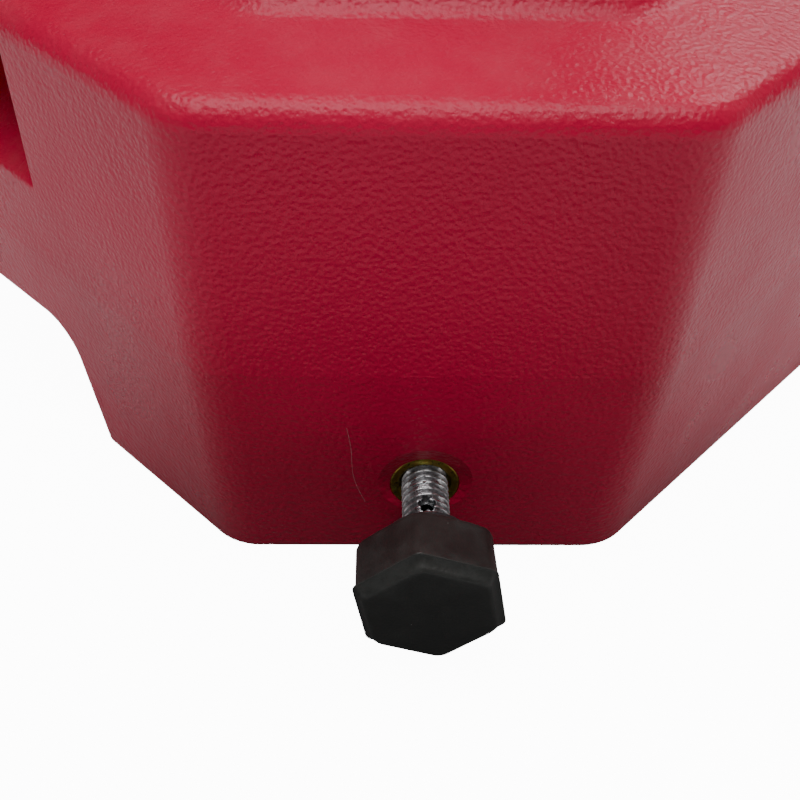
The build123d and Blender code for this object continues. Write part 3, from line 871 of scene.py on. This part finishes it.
def settle(obj: bpy.types.Object, body: Body, material: bpy.types.Material, *nodes: str) -> bpy.types.Object:
    """Dress a piece, put it on its body and let it stand for its nodes.

    Args:
        obj: the piece.
        body: the body it moves with.
        material: its finish, whose name is also its slot's.
        nodes: the nodes it stands for.

    Returns:
        The piece.
    """
    coat(obj, material)
    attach(obj, body.value)
    if nodes:
        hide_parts(*nodes)
    LOG.info("%s rides on %s and stands for %s", obj.name, body.value, ", ".join(nodes) or "nothing")
    return obj


# ---------------------------------------------------------------- the tank


@dataclass
class Tank:
    """The moulded tank and the mould's flash round its base.

    Args:
        length: the base's length at the seam, in millimetres.
        width: its width there.
        cut: the leg of its 45 degree corners.
        corner: the rounding of its upright edges.
        seam: the seam's height.
        flash: how far the flash stands out.
        flash_height: how tall it is.
    """

    length: float = 1200.0
    width: float = 420.0
    cut: float = 75.0
    corner: float = 16.0
    seam: float = 68.0
    flash: float = 0.28
    flash_height: float = 0.9

    def outline(self, spacing: float = 3.0) -> list[tuple[Vector, Vector]]:
        """The base's outline at the seam.

        Args:
            spacing: the distance between points, in millimetres.

        Returns:
            Pairs of a point and its outward direction.
        """
        x, y = self.length / 2, self.width / 2
        half = [(x, self.cut - y), (x, y - self.cut), (x - self.cut, y), (self.cut - x, y)]
        corners = [Vector((px, py, self.seam)) for px, py in half + [(-px, -py) for px, py in half]]
        path: list[Vector] = []
        for before, here, after in zip(corners[-1:] + corners[:-1], corners, corners[1:] + corners[:1]):
            start = (before + here) / 2
            bend = rounded_path([start, here, (here + after) / 2], self.corner)
            for a, b in zip(bend, bend[1:]):
                count = max(1, round((b - a).length / spacing))
                path += [a.lerp(b, i / count) for i in range(count)]
        outline = []
        for i, point in enumerate(path):
            along = path[(i + 1) % len(path)] - path[i - 1]
            outline.append((point, Vector((along.y, -along.x, 0)).normalized()))
        return outline

    def flash_line(self, finishes: Finishes) -> None:
        """Build the thin ragged line of flash that the mould's seam leaves."""
        loops = []
        for point, out in self.outline():
            ragged = 0.35 + 0.65 * abs(noise.noise(point * 0.045)) + 0.25 * noise.noise(point * 0.4)
            reach = self.flash * max(ragged, 0.12)
            half = Vector((0, 0, self.flash_height / 2))
            ridge = [point - out * 0.4 - half, point + out * reach * 0.75 - half * 0.35,
                     point + out * reach + half * 0.1, point + out * reach * 0.6 + half * 0.6,
                     point - out * 0.4 + half]
            loops.append([corner * MM for corner in ridge])
        mesh = Mould.rings(loops, around=True)
        obj = Mould.piece("seam_flash", mesh, Seat.upright(0, 0, 0), smooth=80)
        settle(obj, Body.TANK, finishes.tank)

    def scratch(self, seat: Seat, finishes: Finishes) -> None:
        """Build the hair-thin pale scratch beside a drain.

        Args:
            seat: the drain's seat.
            finishes: the barrier's materials.
        """
        lean = math.tan(math.radians(5.3))
        path = []
        for i in range(33):
            along = i / 32
            height = 23.0 - 29.0 * along
            sideways = -19.8 + 4.2 * along ** 1.6 + 0.5 * math.sin(along * 7)
            path.append(Vector((sideways, height, height * lean + 0.02)) * MM)
        obj = Mould.piece("wall_scratch", Mould.tube(path, 0.06 * MM, 6), seat)
        settle(obj, Body.TANK, finishes.scratch)

    def dress(self, seat: Seat, finishes: Finishes) -> None:
        """Give the moulded tank its finish, its flash and its scratch.

        Args:
            seat: the front drain's seat.
            finishes: the barrier's materials.
        """
        blocks = [node for name, node in frame["nodes"].items() if name.startswith("tank")]
        for block in blocks:
            coat(block, finishes.tank)
        LOG.info("%d blocks of the tank keep their shape and get %s", len(blocks), finishes.tank.name)
        self.flash_line(finishes)
        self.scratch(seat, finishes)


# ---------------------------------------------------------------- the drains


def hexagon(across: float, corner: float, turn: float, height: float, per_corner: int = 8) -> list[Vector]:
    """A ring with six rounded corners, which is round where corner is half of across.

    Args:
        across: its width across the flats, in millimetres.
        corner: the radius of its corners.
        turn: how far it is turned, in degrees.
        height: its height on the out axis.
        per_corner: pieces to a corner.

    Returns:
        The ring's points, in metres.
    """
    reach = (across / 2 - corner) / math.cos(math.radians(30))
    ring = []
    for k in range(6):
        middle = math.radians(turn + 60 * k)
        for i in range(per_corner + 1):
            angle = middle + math.radians(60 * i / per_corner - 30)
            x = reach * math.cos(middle) + corner * math.cos(angle)
            y = reach * math.sin(middle) + corner * math.sin(angle)
            ring.append(Vector((x, y, height)) * MM)
    return ring


@dataclass
class Drain:
    """One drain: its insert in a corner face, and its washer, hollow bolt and moulded head.

    Args:
        name: which drain it is.
        washer_body: the body that only slides.
        screw_body: the body that turns.
        seed: for what is ragged on it.
        insert_radius: the insert's outside, in millimetres.
        insert_length: its length.
        sink: how deep its face lies in the dish.
        bolt_radius: over the thread.
        pitch: the thread's pitch.
        bolt_in: how much of the bolt lies inside the wall's face.
        bolt_out: how much shows outside it.
        hole: the cross hole's radius.
        hole_out: its distance from the wall's face.
        head_across: the head's width across its flats.
        head_length: the head's length.
        turn: how far the head is turned, in degrees.
    """

    name: str
    washer_body: Body
    screw_body: Body
    seed: int
    insert_radius: float = 8.95
    insert_length: float = 16.0
    sink: float = 1.3
    bolt_radius: float = 6.0
    pitch: float = 2.0
    bolt_in: float = 17.0
    bolt_out: float = 20.3
    hole: float = 2.2
    hole_out: float = 10.2
    head_across: float = 32.6
    head_length: float = 20.0
    turn: float = 40.5

    def seat(self) -> Seat:
        """Where the bolt's axis leaves the wall."""
        joint = next(j for j in frame["joints"] if j["name"] == f"{self.name}_drain_turn")
        return Seat.facing(Vector(joint["pos_m"]), Vector(joint["axis"]))

    def node(self, piece: str) -> str:
        """The name of one of this drain's nodes."""
        return f"{self.name}_drain_{piece}"

    def insert(self, finishes: Finishes) -> None:
        """Build the threaded insert: a faced ring with a countersunk mouth and a ribbed outside."""
        face, foot, outer = -self.sink, -self.sink - self.insert_length, self.insert_radius
        inner = self.bolt_radius + 0.12
        ribs = [(outer - (0.5 if i % 2 else 0.0), face - 2.0 - i * 1.1) for i in range(12)]
        profile = [(inner, foot + 0.4), (inner, face - 1.1)]
        profile += [(inner + 0.72, face - 0.12), (inner + 0.9, face)]
        profile += [(outer - 0.35, face), (outer, face - 0.3), *ribs, (outer, foot + 0.4),
                    (outer - 0.4, foot), (inner + 0.4, foot)]
        random.seed(self.seed)
        nicks = [random.uniform(0, 0.10) for _ in range(120)]

        def nicked(angle: float, radius: float, height: float) -> float:
            """The insert's face has small nicks round its mouth."""
            near_mouth = inner + 0.5 < radius < outer - 0.5 and height > face - 0.5
            return radius + (nicks[int(angle / TURN * 119)] if near_mouth else 0.0)

        mesh = Mould.lathe(profile, 120, nicked, ring=True)
        obj = Mould.piece(self.node("insert_ring"), mesh, self.seat())
        settle(obj, Body.TANK, finishes.insert, self.node("insert"))

    def washer(self, finishes: Finishes) -> None:
        """Build the rubber washer, with slightly bulged edges."""
        back, front = self.bolt_out - 2.6, self.bolt_out
        profile = [(6.3, back + 0.3), (6.5, back), *arc((10.4, back + 0.6), 0.6, -90, 0, 3)]
        profile += [*arc((10.4, front - 0.6), 0.6, 0, 90, 3), (6.5, front), (6.3, front - 0.3)]
        obj = Mould.piece(self.node("washer"), Mould.lathe(profile, 72, ring=True), self.seat())
        settle(obj, self.washer_body, finishes.rubber, self.node("seal"))

    def hole_cutter(self) -> bpy.types.Object:
        """The drill marks to cut: the bolt's own bore from its tip, and a ragged hole across to it."""
        bore = [(0.001, -self.bolt_in - 1), (2.5, -self.bolt_in - 1), (2.5, self.hole_out),
                (0.001, self.hole_out + 1.2)]
        drilled = Mould.piece("bore", Mould.lathe(bore, 32), self.seat())
        random.seed(self.seed + 7)
        ragged = [random.uniform(0.82, 1.14) for _ in range(17)]

        def torn(angle: float, radius: float, height: float) -> float:
            """The hole's edge is torn where the drill broke the thread."""
            place = angle / TURN * 17
            low, share = int(place) % 17, place % 1.0
            factor = ragged[low] * (1 - share) + ragged[(low + 1) % 17] * share
            return radius * (1 + (factor - 1) * min(max((height - 2.0) / 3.0, 0.0), 1.0))

        mesh = Mould.lathe([(self.hole, h) for h in (0.0, 2.0, 3.5, 4.5, 5.5, 7.0)], 51, torn)
        seat = self.seat()
        across = Seat(seat.origin + seat.out * self.hole_out * MM, seat.right, -seat.out, seat.up)
        Mould.cut(drilled, Mould.piece("cross", mesh, across), "UNION")
        return drilled

    def bolt(self, finishes: Finishes) -> None:
        """Build the hollow bolt with its helical thread, pointed tip and cross hole."""
        thread = Thread(self.bolt_radius, 1.12, self.pitch, 1.0, 0.8 - self.bolt_in, self.bolt_out - 0.2)
        tip = -self.bolt_in
        profile = [(4.4, tip), (4.75, tip + 0.4), *[(self.bolt_radius, h) for h in thread.heights()]]
        profile += [(self.bolt_radius - 0.05, self.bolt_out + 0.2),
                    (self.bolt_radius - 0.05, self.bolt_out + 6)]
        obj = Mould.piece(self.node("hollow_bolt"), Mould.lathe(profile, 72, thread.radius), self.seat(),
                          smooth=50)
        Mould.cut(obj, self.hole_cutter())
        settle(obj, self.screw_body, finishes.bolt, self.node("bolt"))

    def head(self, finishes: Finishes) -> None:
        """Build the moulded head: a round collar, a hexagon body, a line of flash and a bevelled front."""
        back, flats, round_flats = self.bolt_out, self.head_across, 28.4
        front = back + self.head_length
        lip = front - 3.2
        rows = [
            (12.4, 6.0, 0.0), (24.6, 12.1, 0.0), (25.8, 12.7, 0.35), (round_flats - 0.6, 13.7, 2.0),
            (round_flats, 13.9, 2.5), (flats - 1.6, 8.5, 3.1), (flats - 0.6, 4.6, 3.9),
            (flats - 0.2, 3.6, 5.0),
            (flats, 3.2, lip - back - 0.5), (flats + 0.1, 3.0, lip - back - 0.25),
            (flats + 1.05, 2.4, lip - back),
            (flats + 1.0, 2.4, lip - back + 0.3), (flats - 0.1, 2.6, lip - back + 0.5),
            (flats - 2.6, 3.4, self.head_length - 0.9), (flats - 3.6, 3.6, self.head_length - 0.25),
            (flats - 5.0, 4.0, self.head_length), (flats - 12.0, 5.0, self.head_length - 0.22),
            (flats - 22.0, 3.0, self.head_length - 0.30), (2.0, 0.6, self.head_length - 0.30),
        ]
        loops = []
        for across, corner, height in rows:
            ring = hexagon(across, corner, self.turn, back + height)
            for point in ring:
                wobble = noise.noise(point * 160 + Vector((self.seed, 0, 0))) * 0.10 * MM
                point += Vector((point.x, point.y, 0)).normalized() * wobble
            loops.append(ring)
        obj = Mould.piece(self.node("head"), Mould.rings(loops), self.seat(), smooth=42)
        settle(obj, self.screw_body, finishes.black, self.node("knob"))

    def build(self, finishes: Finishes) -> None:
        """Build the whole drain."""
        self.insert(finishes)
        self.washer(finishes)
        self.bolt(finishes)
        self.head(finishes)


# ---------------------------------------------------------------- the filler


@dataclass
class Filler:
    """The filler in the top: a threaded neck, a rubber ring and a ribbed screw cap.

    Args:
        floor: the height of the pan's floor, in millimetres.
        bore: the neck's inner radius.
        crest: over the neck's thread.
        neck: the neck's height above the floor.
        flange: the flange's radius.
        tail: how far the neck reaches below the floor.
        ring: the rubber ring's thickness.
        cap: the cap's radius over its skirt.
        ribs: grip ribs round the cap.
        top: the thickness of the cap's top.
        bar: the length, width and height of the bar across it.
    """

    floor: float = 766.0
    bore: float = 40.0
    crest: float = 44.4
    neck: float = 19.0
    flange: float = 56.0
    tail: float = 12.0
    ring: float = 2.5
    cap: float = 52.0
    ribs: int = 24
    top: float = 4.0
    bar: tuple[float, float, float] = (84.0, 12.0, 8.0)

    def seat(self) -> Seat:
        """Where the neck's axis meets the pan's floor."""
        return Seat.upright(0, 0, self.floor * MM)

    def neck_piece(self, finishes: Finishes) -> None:
        """Build the neck, with its flange, its tail and its thread."""
        thread = Thread(self.crest, 1.5, 6.0, 3.0, 5.5, self.neck - 1.2)
        wall = self.bore + 3
        profile = [(self.bore, 0.6 - self.tail), (self.bore + 0.6, -self.tail), (wall - 0.6, -self.tail),
                   (wall, 0.6 - self.tail)]
        profile += [(wall, 0.02), (self.flange - 0.6, 0.02), (self.flange, 0.6),
                    *arc((self.flange - 1, 3), 1, 0, 90)]
        profile += [(self.crest - 0.3, 4.0), *[(self.crest, h) for h in thread.heights(12)]]
        profile += [(self.crest - 1.3, self.neck - 0.4), (self.crest - 1.8, self.neck),
                    (self.bore + 0.8, self.neck)]
        profile += [(self.bore, self.neck - 0.8), (self.bore, 0.0)]
        obj = Mould.piece("threaded_neck", Mould.lathe(profile, 144, thread.radius, ring=True), self.seat())
        settle(obj, Body.TANK, finishes.fitting, "filler_neck")

    def ring_piece(self, finishes: Finishes) -> None:
        """Build the rubber ring between the neck and the cap."""
        low, high, outer = self.neck, self.neck + self.ring, self.crest - 0.4
        profile = [(self.bore, low + 0.5), (self.bore + 0.4, low),
                   *arc((outer - 0.6, low + 0.6), 0.6, -90, 0, 4)]
        profile += [*arc((outer - 0.6, high - 0.6), 0.6, 0, 90, 4), (self.bore + 0.4, high),
                    (self.bore, high - 0.5)]
        obj = Mould.piece("rubber_ring", Mould.lathe(profile, 120, ring=True), self.seat())
        settle(obj, Body.RING, finishes.rubber, "filler_gasket")

    def ribbed(self, angle: float, radius: float, height: float) -> float:
        """The cap's radius, which its grip ribs swell low on its skirt."""
        if radius < self.cap - 0.6:
            return radius
        along = (angle / TURN * self.ribs) % 1.0
        swell = max(math.cos((along - 0.5) * TURN), 0.0) ** 0.6
        return radius + 1.9 * swell * min(max((self.neck + self.ring + 3.4 - height) / 1.2, 0.0), 1.0)

    def bar_piece(self, roof: float) -> bpy.types.Object:
        """Build the bar across the cap's top.

        Args:
            roof: the height of the cap's top.

        Returns:
            The bar.
        """
        length, width, height = self.bar
        loops = []
        for rise, inset in [(-1.0, -0.9), (0.3, -0.9), (0.8, -0.3), (1.6, 0.0), (height - 2, 0.0),
                            (height - 0.9, 0.45),
                            (height - 0.2, 1.3), (height, 2.4)]:
            half, reach = width / 2 - inset, (length - width) / 2
            loop = []
            for i in range(48):
                angle = TURN * (i + 0.5) / 48
                shift = math.copysign(reach, math.cos(angle))
                loop.append(Vector((shift + half * math.cos(angle), half * math.sin(angle),
                                    roof + rise)) * MM)
            loops.append(loop)
        return Mould.piece("cap_bar", Mould.rings(loops), self.seat())

    def cap_piece(self, finishes: Finishes) -> None:
        """Build the ribbed cap, open below, with the bar across its top."""
        foot, roof = 5.0, self.neck + self.ring
        lid = roof + self.top
        profile = [(0.01, roof), (self.crest + 0.6, roof), (self.crest + 0.6, foot + 0.8),
                   (self.crest + 1.4, foot)]
        profile += [(self.cap - 0.8, foot), (self.cap, foot + 0.8),
                    *[(self.cap, foot + 1 + 2.2 * i) for i in range(7)]]
        profile += [(self.cap, lid - 3.4), (self.cap, lid - 2.2),
                    *arc((self.cap - 1.8, lid - 1.8), 1.8, 0, 90)]
        profile += [(self.cap - 5, lid), (self.cap - 5.8, lid - 0.5), (self.cap - 8, lid - 0.5),
                    (self.cap - 8.8, lid), (0.01, lid)]
        obj = Mould.piece("screw_cap", Mould.lathe(profile, self.ribs * 12, self.ribbed), self.seat(),
                          smooth=40)
        settle(obj, Body.LID, finishes.fitting, "filler_cap")
        settle(self.bar_piece(lid), Body.LID, finishes.fitting)

    def build(self, finishes: Finishes) -> None:
        """Build the whole filler."""
        self.neck_piece(finishes)
        self.ring_piece(finishes)
        self.cap_piece(finishes)


# ---------------------------------------------------------------- the end couplings


@dataclass
class Coupling:
    """The steel sleeves in the lugs, and the drop pin with its collar and handle.

    Args:
        axis: the couplings' distance from the middle, in millimetres.
        right: the heights of the right lugs' undersides.
        left: the heights of the left lugs' undersides.
        thick: a lug's thickness.
        sleeve: a sleeve's outer radius.
        bore: its inner radius.
        pin: the pin's radius.
        foot: the height of the pin's point.
        collar: the collar's radius and thickness.
        rod: the handle's radius.
        neck: the distance of the handle's feet from the pin's axis.
        reach: half the handle's width.
        rise: the handle's height.
    """

    axis: float = 604.0
    right: tuple[float, float] = (355.0, 605.0)
    left: tuple[float, float] = (300.0, 550.0)
    thick: float = 50.0
    sleeve: float = 16.95
    bore: float = 14.05
    pin: float = 13.0
    foot: float = 285.0
    collar: tuple[float, float] = (24.0, 6.0)
    rod: float = 5.0
    neck: float = 16.0
    reach: float = 42.0
    rise: float = 66.0

    def seat(self, side: int, height: float) -> Seat:
        """A place on a coupling's axis, at a height in millimetres."""
        return Seat.upright(side * self.axis * MM, 0, height * MM)

    def tube(self, side: int, height: float, level: str, finishes: Finishes) -> None:
        """Build one lug's sleeve, with a turned chamfer at each mouth.

        Args:
            side: the end it is at, 1 for the right and -1 for the left.
            height: its foot's height.
            level: whether it is the lower or the upper one.
            finishes: the barrier's materials.
        """
        outer, inner, top = self.sleeve, self.bore, self.thick
        profile = [(inner, 1.0), (inner + 0.9, 0.05), (outer - 0.4, 0.05), (outer, 0.5), (outer, top - 0.5)]
        profile += [(outer - 0.4, top - 0.05), (inner + 0.9, top - 0.05), (inner, top - 1.0)]
        place = "right" if side > 0 else "left"
        obj = Mould.piece(f"{place}_{level}_tube", Mould.lathe(profile, 72, ring=True),
                          self.seat(side, height))
        settle(obj, Body.TANK, finishes.sleeve, f"{place}_{level}_sleeve")

    def bead(self, name: str, seat: Seat, radius: float, finishes: Finishes) -> None:
        """Build the lumpy weld bead round a foot.

        Args:
            name: the bead's name.
            seat: where it lies.
            radius: of what it runs round.
            finishes: the barrier's materials.
        """
        def lumpy(angle: float, reach: float, height: float) -> float:
            """Ripples of the weld, strongest at its outside."""
            ripple = math.sin(angle * radius * 2.2) * 0.22 + noise.noise(Vector((math.cos(angle),
                                                                                 math.sin(angle),
                                                                                 radius)) * 2) * 0.5
            return reach + ripple * (reach - radius + 0.4) / 3

        profile = [(radius - 0.4, -0.3), (radius + 2.7, -0.3), (radius + 2.6, 0.5), (radius + 1.9, 1.4),
                   (radius + 0.9, 2.2), (radius - 0.4, 2.7)]
        obj = Mould.piece(name, Mould.lathe(profile, 96, lumpy, ring=True), seat, smooth=60)
        settle(obj, Body.PIN, finishes.pin)

    def handle(self, top: float, finishes: Finishes) -> None:
        """Build the bent handle and the welds at its feet.

        Args:
            top: the height of the collar's upper face.
            finishes: the barrier's materials.
        """
        side = [(self.neck, -0.2), (self.neck, 10.0), (self.reach, 10.0 + self.reach - self.neck),
                (self.reach, self.rise - self.rod)]
        corners = [Vector((0, -y, z)) for y, z in side] + [Vector((0, y, z)) for y, z in reversed(side)]
        path = [point * MM for point in rounded_path(corners, 9.0, 10)]
        obj = Mould.piece("lifting_handle", Mould.tube(path, self.rod * MM, 28), self.seat(1, top))
        settle(obj, Body.PIN, finishes.pin, "coupling_pin_handle")
        for name, y in (("front", -self.neck), ("rear", self.neck)):
            place = Seat.upright(self.axis * MM, y * MM, top * MM)
            self.bead(f"{name}_handle_weld", place, self.rod, finishes)

    def build(self, finishes: Finishes) -> None:
        """Build the sleeves and the pin."""
        for side, heights in ((1, self.right), (-1, self.left)):
            for level, height in zip(("lower", "upper"), heights):
                self.tube(side, height, level, finishes)
        shelf = self.right[1] + self.thick
        wide, thick = self.collar
        length = shelf + thick - self.foot
        profile = [(0.01, 0.0), (7.4, 0.0), (8.2, 0.3), (self.pin - 0.2, 4.6), (self.pin, 5.4)]
        profile += [(self.pin, 5.4 + (length - 6) * i / 12) for i in range(1, 13)] + [(self.pin - 0.4,
                                                                                       length),
                                                                                      (0.01, length)]
        obj = Mould.piece("pin_bar", Mould.lathe(profile, 72), self.seat(1, self.foot))
        settle(obj, Body.PIN, finishes.pin, "coupling_pin_rod")
        profile = [(self.pin, 0.6), (self.pin + 0.4, 0.02), (wide - 0.7, 0.02), (wide, 0.7),
                   (wide, thick - 0.9)]
        profile += [(wide - 0.9, thick), (self.pin + 0.2, thick), (self.pin, thick - 0.3)]
        obj = Mould.piece("pin_flange", Mould.lathe(profile, 96, ring=True), self.seat(1, shelf))
        settle(obj, Body.PIN, finishes.pin, "coupling_pin_collar")
        self.handle(shelf + thick, finishes)


# ---------------------------------------------------------------- strips and reflectors


@dataclass
class Trim:
    """The reflective strips, and the round reflectors with their rivets.

    Args:
        wall: an end wall's distance from the middle at the reflector's height, in millimetres.
        lean: the end wall's lean, as a slope.
        height: the reflector's height.
        radius: its radius.
        proud: how far it stands out of the wall.
        sunk: how far it lies in the wall.
    """

    wall: float = 499.70
    lean: float = 12 / 564
    height: float = 720.0
    radius: float = 31.8
    proud: float = 3.0
    sunk: float = 3.0

    def reflector(self, name: str, side: int, finishes: Finishes) -> None:
        """Build one end's reflector: a lens with a rounded rim round a shallow step, and its rivet.

        Args:
            name: the end's name.
            side: the end, 1 for the right and -1 for the left.
            finishes: the barrier's materials.
        """
        seat = Seat.facing(Vector((side * self.wall, 0, self.height)) * MM, Vector((side, 0, self.lean)))
        edge, front = self.radius, self.proud
        profile = [(2.5, 0.3 - self.sunk), (2.9, -self.sunk), (edge - 0.3, -self.sunk),
                   (edge, 0.3 - self.sunk)]
        profile += [*arc((edge - 1.4, front - 1.4), 1.4, 0, 90), (edge - 4.0, front),
                    (edge - 4.6, front - 0.7)]
        profile += [(20.0, front - 0.55), (10.0, front - 0.45), (7.4, front - 0.4), (6.8, front),
                    (2.9, front), (2.5, front - 0.3)]
        obj = Mould.piece(f"{name}_lens", Mould.lathe(profile, 120, ring=True), seat)
        settle(obj, Body.TANK, finishes.lens, f"{name}_reflector")
        dome = [(0.01, -9.0), (2.3, -9.0), (2.35, front), (5.6, front + 0.03), (6.0, front + 0.4),
                *arc((0.01, front - 8.0), 10.4, 54, 66, 3)]
        dome += [*arc((0.01, front - 8.0), 10.4, 72, 89.9, 3)]
        obj = Mould.piece(f"{name}_dome_rivet", Mould.lathe(dome, 48), seat)
        settle(obj, Body.TANK, finishes.rivet, f"{name}_reflector_rivet")

    def build(self, finishes: Finishes) -> None:
        """Build the reflectors and give the strips their sheeting."""
        for name, side in (("right", 1), ("left", -1)):
            self.reflector(name, side, finishes)
        for name in ("front_strip", "rear_strip"):
            coat(frame["nodes"][name], finishes.strip)
            LOG.info("%s keeps its shape and gets %s", name, finishes.strip.name)


# ---------------------------------------------------------------- the studio


@dataclass
class Studio:
    """A pale floor, soft lights and the camera.

    Args:
        lens: the camera's lens on a 36 mm frame, in millimetres.
        pitch: how far it looks down, in degrees.
        yaw: how far it looks to the right of square on.
        roll: how far it is rolled.
        left: how far it stands to the left of the drain, in millimetres.
        ahead: how far in front of the drain's wall.
        above: how far above the drain.
        glow: how much brighter the floor looks than the lamps make it.
        shade_at: the middle of the floor's painted shadow patch, in metres.
    """

    lens: float = 49.6
    pitch: float = 42.25
    yaw: float = -2.33
    roll: float = 1.93
    left: float = 15.0
    ahead: float = 193.8
    above: float = 206.5
    glow: float = 12.0
    shade_at: Colour = (0.62, -0.23, 0.0)

    def camera(self, seat: Seat) -> None:
        """Place the camera in front of a drain's corner.

        Args:
            seat: the drain's seat.
        """
        data = bpy.data.cameras.new("camera")
        data.lens = self.lens
        data.sensor_width = 36.0
        data.clip_start = 0.01
        data.clip_end = 60.0
        camera = bpy.data.objects.new("camera", data)
        bpy.context.scene.collection.objects.link(camera)
        bpy.context.scene.camera = camera
        place = seat.origin + (seat.out * self.ahead - seat.right * self.left + seat.up * self.above) * MM
        turned = Matrix.Rotation(math.radians(self.yaw), 3, "Z")
        right, level = turned @ seat.right, turned @ -seat.out
        dip = math.radians(self.pitch)
        look = level * math.cos(dip) - Vector((0, 0, math.sin(dip)))
        top = level * math.sin(dip) + Vector((0, 0, math.cos(dip)))
        tilt = math.radians(self.roll)
        side = right * math.cos(tilt) + top * math.sin(tilt)
        crown = top * math.cos(tilt) - right * math.sin(tilt)
        turn = Matrix((side, crown, -look)).transposed()
        camera.matrix_world = Matrix.Translation(place) @ turn.to_4x4()

    def lamp(self, name: str, aim: Vector, bearing: float, height: float, away: float,
             size: tuple[float, float],
             power: float, colour: Colour = (1.0, 1.0, 1.0)) -> None:
        """Hang a soft rectangular lamp that faces a point.

        Args:
            name: the lamp's name.
            aim: the point it faces.
            bearing: its direction from there, in degrees anticlockwise from +X.
            height: its elevation, in degrees.
            away: its distance in metres.
            size: its width and height in metres.
            power: in watts.
            colour: its colour.
        """
        data = bpy.data.lights.new(name, "AREA")
        data.shape = "RECTANGLE"
        data.size, data.size_y = size
        data.energy = power
        data.color = colour
        lamp = bpy.data.objects.new(name, data)
        bpy.context.scene.collection.objects.link(lamp)
        rise, round_ = math.radians(height), math.radians(bearing)
        way = Vector((math.cos(rise) * math.cos(round_), math.cos(rise) * math.sin(round_), math.sin(rise)))
        lamp.matrix_world = Matrix.Translation(aim + way * away) @ way.to_track_quat("Z",
                                                                                     "Y").to_matrix().to_4x4()

    def floor(self) -> None:
        """Lay a pale floor that looks evenly bright to the camera, with a painted shadow patch that only
        reflections and bounced light see.
        """
        mesh = bmesh.new()
        bmesh.ops.create_grid(mesh, x_segments=1, y_segments=1, size=8.0)
        floor = Mould.piece("floor", mesh, Seat.upright(0, 0, 0))
        material, board, shader = blank("floor")
        cloud = board.span(board.noise(board.place(), 1.5, 2.0), 0.3, 0.7)
        seen = board.mix(cloud, (0.84, 0.84, 0.84, 1), (0.88, 0.88, 0.88, 1))
        # Painted shadow: to every ray but the camera's, the floor is dark round shade_at and pale beyond, so
        # the tank's lower corner reflects and receives a painted shade.
        away = board.add("ShaderNodeVectorMath", operation="DISTANCE")
        board.feed(away.inputs[0], board.add("ShaderNodeNewGeometry").outputs["Position"])
        away.inputs[1].default_value = self.shade_at
        shade = board.mix(board.span(away.outputs["Value"], 0.05, 0.23), (0.12, 0.12, 0.12, 1),
                          (0.92, 0.92, 0.92, 1))
        camera = board.add("ShaderNodeLightPath").outputs["Is Camera Ray"]
        board.feed(shader.inputs["Base Color"], board.mix(camera, shade, seen))
        shader.inputs["Roughness"].default_value = 0.8
        shader.inputs["Specular IOR Level"].default_value = 0.1
        shader.inputs["Emission Color"].default_value = (1.0, 1.0, 1.0, 1)
        board.feed(shader.inputs["Emission Strength"], board.math("MULTIPLY", camera, self.glow))
        coat(floor, material)

    def lights(self, aim: Vector) -> None:
        """Set the lamps and the pale surroundings.

        Args:
            aim: the point they face.
        """
        world = bpy.data.worlds.new("surroundings")
        bpy.context.scene.world = world
        world.use_nodes = True
        back = next(n for n in world.node_tree.nodes if n.type == "BACKGROUND")
        back.inputs["Color"].default_value = (1.0, 1.0, 1.0, 1)
        back.inputs["Strength"].default_value = 0.05
        self.lamp("window", aim, 98.0, 40.0, 3.0, (1.2, 1.0), 27.0)
        self.lamp("ceiling", aim, -60.0, 88.0, 2.6, (2.4, 2.4), 100.0)

    def build(self, seat: Seat) -> None:
        """Build the studio round a drain's corner."""
        self.floor()
        self.lights(seat.origin)
        self.camera(seat)


def main() -> None:
    """Build every piece of the barrier, then the studio round it."""
    logging.basicConfig(level=logging.INFO, format="%(name)s: %(message)s")
    finishes = Finishes()
    front = Drain("front", Body.FRONT_WASHER, Body.FRONT_SCREW, 3)
    rear = Drain("rear", Body.REAR_WASHER, Body.REAR_SCREW, 11)
    Tank().dress(front.seat(), finishes)
    for drain in (front, rear):
        drain.build(finishes)
    Filler().build(finishes)
    Coupling().build(finishes)
    Trim().build(finishes)
    for node in frame["nodes"].values():
        if not node.material_slots or node.material_slots[0].material is None:
            LOG.info("%s has no finish yet", node.name)
    Studio().build(front.seat())


if __name__ == "__main__":
    main()
